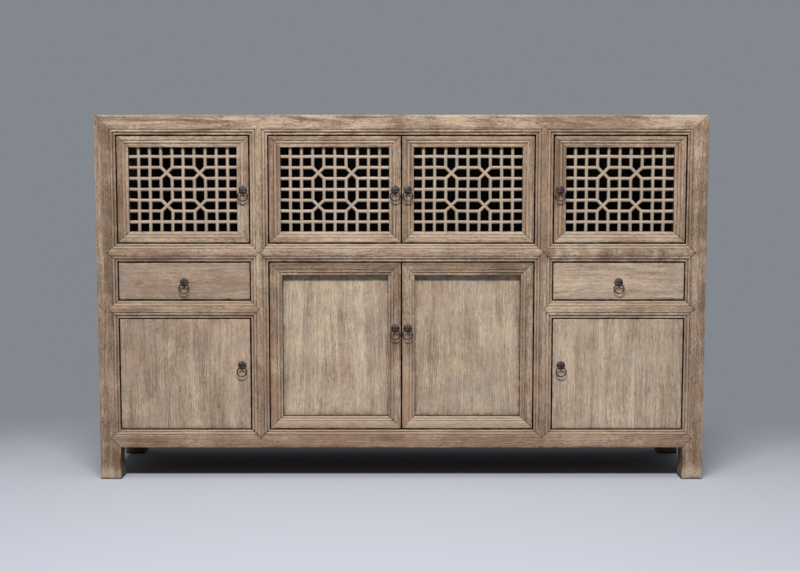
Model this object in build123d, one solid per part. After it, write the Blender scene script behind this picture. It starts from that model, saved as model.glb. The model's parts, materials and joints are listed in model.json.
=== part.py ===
# Low, wide Chinese book cabinet in reclaimed elm.
# A square-cornered frame stands on its own corner posts and holds three bays:
# lattice doors above, drawers over plank doors at the sides, panelled doors in the middle.
# Millimetres, +Z up, the front faces -Y, origin on the floor under the middle of the whole cabinet.
import math
import os

from build123d import *

# Overall size
cabinet_width = 1800.0
cabinet_height = 1083.0
cabinet_depth = 407.0

# Posts, dividers and rails of the frame
post_size = 62.0
divider_width = 52.5
rail_depth = 45.0
top_rail_height = 58.5
middle_rail_height = 53.0
drawer_rail_height = 52.0
bottom_rail_height = 54.5
leg_height = 96.0

# Openings in the front
side_opening_width = 392.5
upper_opening_height = 318.5
drawer_opening_height = 116.0

# Pointed mortise and tenon joints
shoulder_depth = 14.0
tenon_thickness = 16.0
tenon_edge = 10.0
joint_gap = 2.0

# Moulding round each opening: a low strip, a groove, a bead and a second groove
moulding_width = 17.0
moulding_strip = 6.5
strip_step = 2.0
groove_width = 2.0
groove_depth = 2.0

# Boards
top_board = 18.0
board = 14.0
side_board = 12.0
board_seat = 8.0
housing = 4.0

# Doors
door_thickness = 26.0
door_gap = 3.0
meeting_gap = 3.0
door_recess = 2.0
lattice_stile = 35.0
lattice_rail = 33.0
lattice_door_strip = 10.0
lattice_door_moulding = 21.0
panel_door_frame = 38.0
panel_door_strip = 7.0
panel_door_moulding = 17.0
panel_setback = 14.5
panel_thickness = 8.0
panel_groove = 8.0
plank_thickness = 22.0
plank_joints = (0.36, 0.69)
batten_height = 48.0
batten_thickness = 12.0
batten_inset = 45.0

# Lattice
lattice_columns = 10
lattice_rows = 8
crossed_columns = (4, 7)
crossed_rows = (3, 6)
bar_width = 9.5
bar_thickness = 12.0
bar_setback = 6.5
bar_tenon = 6.0
bar_tenon_length = 6.0

# Pivot pins of the doors
pin_radius = 4.5
pin_clearance = 0.05
pin_depth = 10.0
pin_in_door = 40.0
pivot_depth = 8.0
swing_clearance = 0.4
pivot_margin = 9.0

# Drawers
drawer_front = 20.0
drawer_length = 320.0
drawer_side = 12.0
drawer_bottom = 8.0
drawer_bottom_rise = 8.0
drawer_side_play = 3.0
front_edge_round = 2.0
running_gap = 0.3
runner_width = 22.0
runner_height = 20.0

# Door stops
stop_height = 15.0
stop_depth = 14.0
stop_gap = 0.5
stop_end = 50.0

# Ring pulls
plate_radius = 13.0
plate_rim = 1.0
plate_dome = 3.6
eye_drop = 3.8
eye_projection = 10.0
eye_radius = 3.6
eye_wire = 1.2
shank_radius = 1.6
leg_spread = 9.0
ring_radius = 14.25
ring_wire = 2.0
lattice_pull_inset = 17.0
panel_pull_inset = 17.0
plank_pull_inset = 25.0
lattice_pull_height = 158.0
plank_pull_height = 193.5
panel_pull_height = 304.5
drawer_pull_drop = 3.0

# Lines of the frame, measured from the middle and from the floor
half_width = cabinet_width / 2
post_inner = half_width - post_size
divider_outer = post_inner - side_opening_width
divider_inner = divider_outer - divider_width
divider_middle = (divider_outer + divider_inner) / 2
floor_level = leg_height + bottom_rail_height
top_rail_base = cabinet_height - top_rail_height
shelf_level = top_rail_base - upper_opening_height
middle_rail_base = shelf_level - middle_rail_height
runner_level = middle_rail_base - drawer_opening_height
drawer_rail_base = runner_level - drawer_rail_height

# How far tips and tenons reach into a corner post, past each other, and into a divider
corner_reach = post_size - shoulder_depth - tenon_thickness - joint_gap
divider_reach = (divider_width - joint_gap) / 2

# The ring pulls stand out in front, so the front of the frame lies a little behind half the depth
pull_reach = eye_projection + eye_radius + eye_wire - door_recess
front_y = (pull_reach - cabinet_depth) / 2

# A door turns on pins set in far enough for its front corner to clear the post,
# and further by a margin of sound wood, so that an open door stands clear of an open drawer
swing_gap = door_gap - swing_clearance
least_inset = (pivot_depth ** 2 - swing_gap ** 2) / (2 * swing_gap)
pivot_inset = least_inset + pivot_margin
door_back = door_recess + door_thickness


def block(x0, x1, depth0, depth1, z0, z1):
    # A box between two widths, two depths behind the frame's front and two heights
    size = Box(x1 - x0, depth1 - depth0, z1 - z0)
    return Pos((x0 + x1) / 2, front_y + (depth0 + depth1) / 2, (z0 + z1) / 2) * size


def board_of(points, thickness, direction):
    # A flat outline pushed along one direction
    return extrude(make_face(Polyline(*points, close=True)), amount=thickness, dir=direction)


def front_outline(points, depth0, depth1):
    # An outline of (x, z) points between two depths
    return board_of([(x, front_y + depth0, z) for x, z in points], depth1 - depth0, (0, 1, 0))


def side_outline(points, x0, x1):
    # An outline of (depth, z) points between two widths
    return board_of([(x0, front_y + depth, z) for depth, z in points], x1 - x0, (1, 0, 0))


def plan_outline(points, z0, z1):
    # An outline of (x, depth) points between two heights
    return board_of([(x, front_y + depth, z0) for x, depth in points], z1 - z0, (0, 0, 1))


def mirrored(shape):
    return mirror(shape, about=Plane.YZ)


def turned_to_back(shape):
    # Half a turn about the middle of the frame's depth
    middle = front_y + cabinet_depth / 2
    return Pos(0, middle, 0) * Rot(0, 0, 180) * Pos(0, -middle, 0) * shape


def save(name, *solids):
    pieces = [solid for shape in solids for solid in shape.solids()]
    export_step(Compound(children=pieces), f"parts/{name}.step")


# ---- Frame members ----

def pointed_member(start, end, low, high, start_reach, end_reach, upright=False):
    # A rail or divider with pointed front shoulders and a tenon behind each point
    middle = (low + high) / 2
    face = [(start, low), (start - start_reach, middle), (start, high),
            (end, high), (end + end_reach, middle), (end, low)]
    tenon = (start - start_reach, end + end_reach, low + tenon_edge, high - tenon_edge)
    tenon_back = shoulder_depth + tenon_thickness
    if upright:
        front = front_outline([(across, along) for along, across in face], 0, shoulder_depth)
        body = block(low, high, shoulder_depth, rail_depth, start, end)
        core = block(tenon[2], tenon[3], shoulder_depth, tenon_back, tenon[0], tenon[1])
    else:
        front = front_outline(face, 0, shoulder_depth)
        body = block(start, end, shoulder_depth, rail_depth, low, high)
        core = block(tenon[0], tenon[1], shoulder_depth, tenon_back, tenon[2], tenon[3])
    return front + body + core


def side_rail(z0, z1):
    # A rail between the front and back posts of the right side, its face flush with the posts
    length = cabinet_depth - 2 * post_size
    rail = pointed_member(-length / 2, length / 2, z0, z1, corner_reach, corner_reach)
    face = Pos(half_width, front_y + cabinet_depth / 2, 0) * Rot(0, 0, 90)
    return face * Pos(0, -front_y, 0) * rail


def corner_post():
    # The front right post, mitred at its head with the front rail and the side rail
    post = block(post_inner, half_width, 0, post_size, 0, cabinet_height)
    post -= front_outline([(post_inner, top_rail_base), (post_inner, cabinet_height),
                           (half_width, cabinet_height)], 0, post_size)
    post -= side_outline([(post_size, top_rail_base), (post_size, cabinet_height),
                          (0, cabinet_height)], post_inner, half_width)
    return post


def mitred_front_rail():
    # The top rail of the front, mitred downwards with the posts and backwards with the side rails
    rail = block(-half_width, half_width, 0, post_size, top_rail_base, cabinet_height)
    for side in (-1, 1):
        inner = side * post_inner
        outer = side * half_width
        rail -= front_outline([(inner, top_rail_base), (outer, top_rail_base),
                               (outer, cabinet_height)], 0, post_size)
        rail -= plan_outline([(inner, post_size), (outer, post_size), (outer, 0)],
                             top_rail_base, cabinet_height)
    return rail


def mitred_side_rail():
    # The top rail of the right side, mitred at both ends
    rail = block(post_inner, half_width, 0, cabinet_depth, top_rail_base, cabinet_height)
    for corner, inward in ((0, post_size), (cabinet_depth, cabinet_depth - post_size)):
        rail -= side_outline([(inward, top_rail_base), (corner, top_rail_base),
                              (corner, cabinet_height)], post_inner, half_width)
        rail -= plan_outline([(post_inner, inward), (post_inner, corner), (half_width, corner)],
                             top_rail_base, cabinet_height)
    return rail


def frame_ring(opening, inside, outside, depth0, depth1):
    # A rectangular ring round an opening, between two offsets from its edge
    x0, x1, z0, z1 = opening
    outer = block(x0 - outside, x1 + outside, depth0, depth1, z0 - outside, z1 + outside)
    return outer - block(x0 - inside, x1 + inside, depth0, depth1, z0 - inside, z1 + inside)


def moulding_cuts(opening, strip, width, face, step):
    # The strip and the two grooves that leave a bead standing round an opening
    strip_groove = frame_ring(opening, strip, strip + groove_width, face, face + step + groove_depth)
    outer_groove = frame_ring(opening, width - groove_width, width, face, face + groove_depth)
    cuts = [strip_groove, outer_groove]
    if step > 0:
        cuts.append(frame_ring(opening, 0, strip, face, face + step))
    return cuts


# ---- Doors ----

def pivot_pins(x, z0, z1):
    # Turned pins driven into the top and bottom of a door, standing out into the rails
    y = front_y + door_recess + pivot_depth
    length = pin_in_door + door_gap + pin_depth
    pin = Cylinder(pin_radius, length)
    low = Pos(x, y, z0 - door_gap - pin_depth + length / 2) * pin
    high = Pos(x, y, z1 + door_gap + pin_depth - length / 2) * pin
    return [low, high]


def pivot_holes(x, z0, z1):
    # The holes for those pins in the rails below and above the door
    y = front_y + door_recess + pivot_depth
    depth = pin_depth + running_gap
    hole = Cylinder(pin_radius + pin_clearance, depth)
    low = Pos(x, y, z0 - door_gap - depth / 2) * hole
    high = Pos(x, y, z1 + door_gap + depth / 2) * hole
    return [low, high]


def leaf_area(opening, pair):
    # The space a left-hinged door fills in its opening; a pair shares the opening
    x0, x1, z0, z1 = opening
    right = (x0 + x1) / 2 - meeting_gap / 2 if pair else x1 - door_gap
    return x0 + door_gap, right, z0 + door_gap, z1 - door_gap


def mitred_door_frame(leaf, stile, rail, strip, moulding, slot_front, slot_back, slot_depth):
    # Two stiles and two rails mitred at the corners, grooved inside for what they hold
    x0, x1, z0, z1 = leaf
    inner = (x0 + stile, x1 - stile, z0 + rail, z1 - rail)
    ring = block(x0, x1, door_recess, door_back, z0, z1)
    ring -= block(inner[0], inner[1], door_recess, door_back, inner[2], inner[3])
    ring -= frame_ring(inner, 0, slot_depth, door_recess + slot_front, door_recess + slot_back)
    ring -= moulding_cuts(inner, strip, moulding, door_recess, 0)
    corners = [(x0, z0), (x1, z0), (x1, z1), (x0, z1)]
    inner_corners = [(inner[0], inner[2]), (inner[1], inner[2]), (inner[1], inner[3]), (inner[0], inner[3])]
    pins = pivot_pins(x0 + pivot_inset, z0, z1)
    members = []
    for corner in range(4):
        after = (corner + 1) % 4
        outline = [corners[corner], corners[after], inner_corners[after], inner_corners[corner]]
        wedge = front_outline(outline, door_recess, door_back)
        members.append((ring & wedge) - pins)
    return members + pins, inner


def unbroken_runs(broken_cells, cell_count):
    # The stretches of a lattice line between its broken cells, as first and last line numbers
    starts = [0] + list(broken_cells)
    ends = [cell - 1 for cell in broken_cells] + [cell_count]
    return list(zip(starts, ends))


def lattice_lines(low, high, cells):
    # Middles of the bars that split a span into equal clear cells, with the frame's edges at the ends
    clear = (high - low - (cells - 1) * bar_width) / cells
    bars = [low + number * (clear + bar_width) - bar_width / 2 for number in range(1, cells)]
    return [low] + bars + [high]


def bar_outline(lines, run, near, far):
    # One lattice bar from the side: straight on the near side, half-lapped on the far side
    first, last = run
    half = bar_width / 2
    middle = (near + far) / 2
    toward = 1 if far > near else -1
    tenon_near = middle - toward * bar_tenon / 2
    tenon_far = middle + toward * bar_tenon / 2
    if first == 0:
        edge = lines[0]
        tip = edge - bar_tenon_length
        points = [(edge, near), (edge, tenon_near), (tip, tenon_near), (tip, tenon_far),
                  (edge, tenon_far), (edge, far)]
    else:
        edge = lines[first] - half
        points = [(edge, near), (edge, middle), (edge + bar_width, middle), (edge + bar_width, far)]
    for crossing in lines[first + 1:last]:
        points += [(crossing - half, far), (crossing - half, middle),
                   (crossing + half, middle), (crossing + half, far)]
    if last == len(lines) - 1:
        edge = lines[-1]
        tip = edge + bar_tenon_length
        points += [(edge, far), (edge, tenon_far), (tip, tenon_far), (tip, tenon_near),
                   (edge, tenon_near), (edge, near)]
    else:
        edge = lines[last] + half
        points += [(edge - bar_width, far), (edge - bar_width, middle), (edge, middle), (edge, near)]
    return points


def diagonal_pair(width, height, front, back):
    # Two bars crossing a clear cell from corner to corner, half-lapped where they meet.
    # Each end is notched over the corner of the square where the broken bars stop.
    length = math.hypot(width, height) / 2
    along = (width / 2 / length, height / 2 / length)
    across = (-along[1] * bar_width / 2, along[0] * bar_width / 2)
    reach_x = (width / 2 - across[0]) / along[0]
    reach_z = (height / 2 + across[1]) / along[1]
    side_end = (width / 2, reach_x * along[1] + across[1])
    top_end = (reach_z * along[0] - across[0], height / 2)
    corner = (width / 2, height / 2)
    end = [side_end, corner, top_end]
    points = end + [(-x, -z) for x, z in end]
    rising = front_outline(points, front, back)
    falling = mirrored(rising)
    middle = (front + back) / 2
    half = height
    front_half = block(-half, half, front, middle, -half, half)
    back_half = block(-half, half, middle, back, -half, half)
    crossing = rising & falling
    return rising - (crossing & back_half), falling - (crossing & front_half)


def lattice(opening):
    # Uprights lapped over crossbars, with a crossed cell at each broken column and row
    x0, x1, z0, z1 = opening
    front = door_recess + bar_setback
    back = front + bar_thickness
    columns = lattice_lines(x0, x1, lattice_columns)
    rows = lattice_lines(z0, z1, lattice_rows)
    broken_uprights = {line for cell in crossed_columns for line in (cell - 1, cell)}
    broken_crossbars = {line for cell in crossed_rows for line in (cell - 1, cell)}
    bars = []
    for line in range(1, lattice_columns):
        cells = crossed_rows if line in broken_uprights else ()
        for run in unbroken_runs(cells, lattice_rows):
            outline = [(depth, z) for z, depth in bar_outline(rows, run, front, back)]
            bars.append(side_outline(outline, columns[line] - bar_width / 2, columns[line] + bar_width / 2))
    for line in range(1, lattice_rows):
        cells = crossed_columns if line in broken_crossbars else ()
        for run in unbroken_runs(cells, lattice_columns):
            outline = bar_outline(columns, run, back, front)
            bars.append(plan_outline(outline, rows[line] - bar_width / 2, rows[line] + bar_width / 2))
    clear_width = columns[2] - columns[1] - bar_width
    clear_height = rows[2] - rows[1] - bar_width
    pair = diagonal_pair(clear_width, clear_height, front, back)
    for column in crossed_columns:
        for row in crossed_rows:
            middle_x = (columns[column - 1] + columns[column]) / 2
            middle_z = (rows[row - 1] + rows[row]) / 2
            bars += [Pos(middle_x, 0, middle_z) * bar for bar in pair]
    return bars


def field_panel(opening):
    # The plain board held in the groove of a panelled door
    x0, x1, z0, z1 = opening
    front = door_recess + panel_setback
    return block(x0 - panel_groove, x1 + panel_groove, front, front + panel_thickness,
                 z0 - panel_groove, z1 + panel_groove)


def plank_door(leaf):
    # Three upright planks held flat by two battens across the back
    x0, x1, z0, z1 = leaf
    back = door_recess + plank_thickness
    edges = [x0] + [x0 + share * (x1 - x0) for share in plank_joints] + [x1]
    pins = pivot_pins(x0 + pivot_inset, z0, z1)
    pieces = [block(low, high, door_recess, back, z0, z1) - pins for low, high in zip(edges, edges[1:])]
    for low in (z0 + batten_inset, z1 - batten_inset - batten_height):
        pieces.append(block(x0 + batten_inset, x1 - batten_inset, back, back + batten_thickness,
                            low, low + batten_height))
    return pieces + pins


# ---- Ring pulls ----

def ring_pull(x, z, thickness):
    # A domed plate, a split pin with an eye, and the ring that hangs in the eye
    rim = Cylinder(plate_radius, plate_rim, align=(Align.CENTER, Align.CENTER, Align.MIN))
    cap_radius = (plate_radius ** 2 + plate_dome ** 2) / (2 * plate_dome)
    ball = Pos(0, 0, plate_rim + plate_dome - cap_radius) * Sphere(cap_radius)
    column = Cylinder(plate_radius, plate_rim + plate_dome, align=(Align.CENTER, Align.CENTER, Align.MIN))
    over = Pos(0, 0, plate_rim) * column
    plate = rim + (ball & over)
    legs_depth = 2 * eye_wire
    eye = Pos(0, -eye_drop, eye_projection) * Rot(0, 90, 0) * Torus(eye_radius, eye_wire)
    shank_length = eye_projection - eye_radius + thickness + legs_depth
    shank = Cylinder(shank_radius, shank_length, align=(Align.CENTER, Align.CENTER, Align.MIN))
    shank = Pos(0, -eye_drop, -thickness - legs_depth) * shank
    legs = Pos(0, -eye_drop, -thickness - legs_depth / 2) * Box(2 * leg_spread, 2 * shank_radius, legs_depth)
    split_pin = eye + shank + legs
    ring = Pos(0, -eye_drop - ring_radius, eye_projection) * Torus(ring_radius, ring_wire)
    face = Pos(x, front_y + door_recess, z) * Rot(90, 0, 0)
    return [face * (plate - shank), face * split_pin, face * ring, face * shank]


# ---- Drawer ----

def drawer_box(area):
    # Two sides, a back and a bottom behind the drawer front
    x0, x1, z0, z1 = area
    left = x0 + drawer_side_play - door_gap
    right = x1 - drawer_side_play + door_gap
    base = z0 - door_gap + running_gap
    front = door_recess + drawer_front
    back = door_recess + drawer_length
    bottom_level = base + drawer_bottom_rise
    bottom = block(left + drawer_side / 2, right - drawer_side / 2, front, back,
                   bottom_level, bottom_level + drawer_bottom)
    walls = [block(left, left + drawer_side, front, back, base, z1),
             block(right - drawer_side, right, front, back, base, z1)]
    walls = [wall - bottom for wall in walls]
    rear = block(left + drawer_side, right - drawer_side, back - drawer_side, back,
                 bottom_level + drawer_bottom, z1)
    return walls + [rear, bottom]


def drawer_face(area):
    x0, x1, z0, z1 = area
    face = block(x0, x1, door_recess, door_recess + drawer_front, z0, z1)
    front_edges = face.faces().sort_by(Axis.Y)[0].edges()
    return fillet(front_edges, front_edge_round)


# ---- Openings of the front ----

upper_left = (-post_inner, -divider_outer, shelf_level, top_rail_base)
upper_middle = (-divider_inner, divider_inner, shelf_level, top_rail_base)
drawer_left = (-post_inner, -divider_outer, runner_level, middle_rail_base)
lower_left = (-post_inner, -divider_outer, floor_level, drawer_rail_base)
lower_middle = (-divider_inner, divider_inner, floor_level, middle_rail_base)


def right_of(opening):
    return -opening[1], -opening[0], opening[2], opening[3]


front_openings = [upper_left, upper_middle, right_of(upper_left), drawer_left, right_of(drawer_left),
                  lower_left, right_of(lower_left), lower_middle]
mouldings = [cut for opening in front_openings
             for cut in moulding_cuts(opening, moulding_strip, moulding_width, 0, strip_step)]

# ---- Doors and drawers, left half; the right half mirrors it ----

door_places = {
    "lattice_door_side": (upper_left, False),
    "lattice_door_middle": (upper_middle, True),
    "plank_door": (lower_left, False),
    "panel_door": (lower_middle, True),
}
leaves = {name: leaf_area(opening, pair) for name, (opening, pair) in door_places.items()}
holes = []
for x0, x1, z0, z1 in leaves.values():
    holes += pivot_holes(x0 + pivot_inset, z0, z1)
holes += [mirrored(hole) for hole in holes]

# ---- Frame ----

bay_rail_ends = ((-post_inner, -divider_outer, corner_reach, divider_reach),
                 (-divider_inner, divider_inner, divider_reach, divider_reach),
                 (divider_outer, post_inner, divider_reach, corner_reach))
middle_rails = [pointed_member(x0, x1, middle_rail_base, shelf_level, reach0, reach1)
                for x0, x1, reach0, reach1 in bay_rail_ends]
drawer_rails = [pointed_member(x0, x1, drawer_rail_base, runner_level, reach0, reach1)
                for x0, x1, reach0, reach1 in (bay_rail_ends[0], bay_rail_ends[2])]
bottom_rail = pointed_member(-post_inner, post_inner, leg_height, floor_level, corner_reach, corner_reach)
back_bottom_rail = turned_to_back(bottom_rail)
front_top_rail = mitred_front_rail()
back_top_rail = turned_to_back(front_top_rail)
right_top_rail = mitred_side_rail()
divider = pointed_member(floor_level, top_rail_base, divider_inner, divider_outer,
                         divider_reach, divider_reach, upright=True)
back_divider = turned_to_back(divider)
right_side_rails = [side_rail(leg_height, floor_level), side_rail(middle_rail_base, shelf_level)]

# ---- Boards ----

inside_back = cabinet_depth - rail_depth
back_panel_front = cabinet_depth - shoulder_depth - side_board
bay_limits = ((-half_width + rail_depth, -divider_middle - board / 2),
              (-divider_middle + board / 2, divider_middle - board / 2),
              (divider_middle + board / 2, half_width - rail_depth))
posts_front = [mirrored(corner_post()), corner_post()]
posts_back = [turned_to_back(posts_front[1]), turned_to_back(posts_front[0])]
dividers = [mirrored(divider), divider]
dividers_back = [mirrored(back_divider), back_divider]
uprights = posts_front + posts_back + dividers + dividers_back

floor_boards = []
for x0, x1 in bay_limits:
    piece = block(x0, x1, rail_depth - board_seat, inside_back + board_seat, floor_level - board, floor_level)
    floor_boards.append(piece - uprights)

shelf_ends = ((-board_seat, housing), (-housing, housing), (-housing, board_seat))
shelf_boards = []
for (x0, x1), (out0, out1) in zip(bay_limits, shelf_ends):
    piece = block(x0 + out0, x1 + out1, rail_depth - board_seat, back_panel_front, shelf_level - board, shelf_level)
    shelf_boards.append(piece - uprights)

partition = block(divider_middle - board / 2, divider_middle + board / 2, rail_depth - board_seat,
                  inside_back + board_seat, floor_level, top_rail_base)
partition += block(divider_middle - board / 2, divider_middle + board / 2, post_size,
                   cabinet_depth - post_size, top_rail_base, cabinet_height - top_board)
partition -= shelf_boards
partitions = [mirrored(partition), partition]

tongue_base = cabinet_height - (top_board + board_seat) / 2
top_panel = block(-post_inner, post_inner, post_size, cabinet_depth - post_size,
                  cabinet_height - top_board, cabinet_height)
top_panel += block(-post_inner - board_seat, post_inner + board_seat, post_size - board_seat,
                   cabinet_depth - post_size + board_seat, tongue_base, tongue_base + board_seat)

side_panels = []
for z0, z1 in ((floor_level, middle_rail_base), (shelf_level, top_rail_base)):
    panel = block(half_width - shoulder_depth - side_board, half_width - shoulder_depth,
                  post_size - board_seat, cabinet_depth - post_size + board_seat,
                  z0 - board_seat, z1 + board_seat)
    side_panels += [mirrored(panel), panel]

back_panels = []
for x0, x1 in ((-post_inner, -divider_outer), (-divider_inner, divider_inner), (divider_outer, post_inner)):
    back_panels.append(block(x0 - board_seat, x1 + board_seat, back_panel_front,
                             back_panel_front + side_board, floor_level - board_seat,
                             top_rail_base + board_seat))

# ---- Runners below, kickers above and guides beside the right drawer ----

right_runners = []
for base in (runner_level - runner_height, middle_rail_base):
    right_runners.append(block(divider_middle + board / 2, divider_outer + runner_width,
                               rail_depth, back_panel_front, base, base + runner_height))
    right_runners.append(block(post_inner - runner_width, post_inner,
                               rail_depth, back_panel_front, base, base + runner_height))
guide_top = runner_level + runner_height
right_runners.append(block(divider_middle + board / 2, divider_outer, rail_depth, back_panel_front,
                           runner_level, guide_top))
right_runners.append(block(post_inner, half_width - shoulder_depth - side_board, post_size,
                           back_panel_front, runner_level - runner_height, guide_top))
right_runners = [runner - uprights for runner in right_runners]

# ---- Stops behind the heads of the doors ----

stops = []
for x0, x1, top, pair in ((-post_inner, -divider_outer, top_rail_base, False),
                          (-divider_inner, divider_inner, top_rail_base, True),
                          (-post_inner, -divider_outer, drawer_rail_base, False),
                          (-divider_inner, divider_inner, middle_rail_base, True)):
    stop = block(x0 + stop_end, x1 - stop_end if pair else x1, door_back + stop_gap,
                 door_back + stop_gap + stop_depth, top - stop_height, top)
    stops += [stop] if pair else [stop, mirrored(stop)]

# ---- Everything cut to fit its neighbours ----

rails = middle_rails + drawer_rails + [bottom_rail, back_bottom_rail]
side_rails = right_side_rails + [mirrored(rail) for rail in right_side_rails]
boards = floor_boards + shelf_boards + partitions + [top_panel] + side_panels + back_panels


def fitted(member, *neighbours):
    # A member with room cut in it for the pieces that are let into it
    return member - [piece for group in neighbours for piece in group]


os.makedirs("parts", exist_ok=True)

for place, post in zip(("left", "right"), posts_front):
    save(f"post_front_{place}", fitted(post, rails, side_rails, side_panels, mouldings))
for place, post in zip(("left", "right"), posts_back):
    save(f"post_back_{place}", fitted(post, rails, side_rails, side_panels, back_panels))
for place, upright in zip(("left", "right"), dividers):
    save(f"divider_front_{place}", fitted(upright, middle_rails, drawer_rails, partitions, mouldings))
save("dividers_back", *[fitted(upright, partitions, back_panels) for upright in dividers_back])
save("top_rail_front", fitted(front_top_rail, dividers, [top_panel], mouldings, holes))
save("top_rails_side", *[fitted(rail, [top_panel], side_panels)
                         for rail in (mirrored(right_top_rail), right_top_rail)])
save("rails_back", fitted(back_top_rail, dividers_back, [top_panel], back_panels),
     fitted(back_bottom_rail, dividers_back, floor_boards, back_panels))
save("middle_rails_front", *[fitted(rail, shelf_boards, mouldings, holes) for rail in middle_rails])
save("drawer_rails_front", *[fitted(rail, mouldings, holes) for rail in drawer_rails])
save("bottom_rail_front", fitted(bottom_rail, dividers, floor_boards, mouldings, holes))
save("side_rails", *[fitted(rail, shelf_boards, floor_boards, side_panels) for rail in side_rails])
save("top_panel", top_panel)
save("side_panels", *side_panels)
save("back_panels", *back_panels)
save("partitions", *partitions)
save("shelf_boards", *shelf_boards)
save("floor_boards", *floor_boards)
save("drawer_runners", *right_runners, *[mirrored(runner) for runner in right_runners])
save("door_stops", *stops)


def save_pair(name, pieces):
    # A node of the left half and its mirror image
    save(name.format(side="left"), *pieces)
    save(name.format(side="right"), *[mirrored(piece) for piece in pieces])


def save_pull(name, x, z, thickness):
    # The pull's fixed pieces and its ring; returns the shank that the wood is bored for
    plate, split_pin, ring, shank = ring_pull(x, z, thickness)
    save_pair(f"pull_{name}", [plate, split_pin])
    save_pair(f"ring_{name}", [ring])
    return shank


for name in ("lattice_door_side", "lattice_door_middle"):
    leaf = leaves[name]
    slot_front = bar_setback + (bar_thickness - bar_tenon) / 2
    frame, opening = mitred_door_frame(leaf, lattice_stile, lattice_rail, lattice_door_strip,
                                       lattice_door_moulding, slot_front, slot_front + bar_tenon,
                                       bar_tenon_length)
    shank = save_pull(f"{name}_{{side}}", leaf[1] - lattice_pull_inset, shelf_level + lattice_pull_height,
                      door_thickness)
    save_pair(f"{name}_{{side}}_frame", [member - shank for member in frame])
    save_pair(f"{name}_{{side}}_lattice", lattice(opening))

leaf = leaves["panel_door"]
frame, opening = mitred_door_frame(leaf, panel_door_frame, panel_door_frame, panel_door_strip,
                                   panel_door_moulding, panel_setback, panel_setback + panel_thickness,
                                   panel_groove)
shank = save_pull("panel_door_{side}", leaf[1] - panel_pull_inset, floor_level + panel_pull_height,
                  door_thickness)
save_pair("panel_door_{side}_frame", [member - shank for member in frame])
save_pair("panel_door_{side}_panel", [field_panel(opening)])

leaf = leaves["plank_door"]
shank = save_pull("plank_door_{side}", leaf[1] - plank_pull_inset, floor_level + plank_pull_height,
                  plank_thickness)
save_pair("plank_door_{side}", [piece - shank for piece in plank_door(leaf)])

drawer_area = leaf_area(drawer_left, False)
shank = save_pull("drawer_{side}", (drawer_area[0] + drawer_area[1]) / 2,
                  (drawer_area[2] + drawer_area[3]) / 2 - drawer_pull_drop, drawer_front)
save_pair("drawer_{side}_front", [drawer_face(drawer_area) - shank])
save_pair("drawer_{side}_box", drawer_box(drawer_area))
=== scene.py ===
import json
import math

import bpy
import numpy as np
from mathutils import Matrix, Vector

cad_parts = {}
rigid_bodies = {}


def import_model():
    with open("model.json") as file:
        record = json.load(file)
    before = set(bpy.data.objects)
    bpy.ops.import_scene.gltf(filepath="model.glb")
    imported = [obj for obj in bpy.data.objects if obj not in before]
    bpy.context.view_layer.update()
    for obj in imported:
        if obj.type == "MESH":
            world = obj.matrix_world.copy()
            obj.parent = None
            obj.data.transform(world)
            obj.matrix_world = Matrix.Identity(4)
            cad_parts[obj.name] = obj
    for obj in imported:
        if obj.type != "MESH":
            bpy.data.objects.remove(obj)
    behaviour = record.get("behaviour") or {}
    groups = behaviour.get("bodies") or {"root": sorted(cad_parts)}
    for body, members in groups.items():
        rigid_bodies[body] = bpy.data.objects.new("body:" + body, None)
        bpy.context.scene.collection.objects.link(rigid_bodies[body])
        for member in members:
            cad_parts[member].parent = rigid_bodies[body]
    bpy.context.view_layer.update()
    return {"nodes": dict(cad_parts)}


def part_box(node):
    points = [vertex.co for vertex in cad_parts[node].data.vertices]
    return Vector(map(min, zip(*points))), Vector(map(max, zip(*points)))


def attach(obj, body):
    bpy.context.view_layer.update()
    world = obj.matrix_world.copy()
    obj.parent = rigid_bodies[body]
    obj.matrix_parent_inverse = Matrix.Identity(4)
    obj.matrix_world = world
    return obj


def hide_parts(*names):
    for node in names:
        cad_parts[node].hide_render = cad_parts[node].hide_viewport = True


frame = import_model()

# Low Chinese book cabinet in bleached reclaimed elm, dressed over its CAD frame.
# Metres. A piece of timber has three directions: along its grain, across its face, and inwards.
mm = 0.001

postBox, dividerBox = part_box("post_front_right"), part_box("divider_front_right")
middleBox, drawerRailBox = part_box("middle_rails_front"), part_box("drawer_rails_front")
bottomBox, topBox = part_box("bottom_rail_front"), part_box("top_rail_front")
frontFace, backFace = postBox[0].y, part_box("post_back_right")[1].y
halfWidth, postInner, cabinetTop = postBox[1].x, postBox[0].x, postBox[1].z
dividerInner, dividerOuter = dividerBox[0].x, dividerBox[1].x
topBase, shelfLevel, middleBase = topBox[0].z, middleBox[1].z, middleBox[0].z
runnerLevel, drawerBase = drawerRailBox[1].z, drawerRailBox[0].z
floorLevel, legHeight = bottomBox[1].z, bottomBox[0].z
postSize = halfWidth - postInner
cornerReach = middleBox[1].x - postInner      # how far a rail's point runs into a corner post
dividerReach = dividerBox[1].z - topBase      # and into a divider

joinery = {
    "shoulder": 14 * mm,     # depth of the pointed shoulders
    "railDepth": 45 * mm,
    "doorRecess": 2 * mm,
    "doorThickness": 26 * mm,
    "doorGap": 3 * mm,
    "swingClearance": 0.4 * mm,
    "pivotDepth": 8 * mm,
    "pivotMargin": 9 * mm,    # sound wood beyond the least inset of a pivot
}


# Numbers and noise

noise = {"strides": (127.1, 311.7, 74.7), "seedStride": 19.19, "stretch": 43758.5453}


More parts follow.
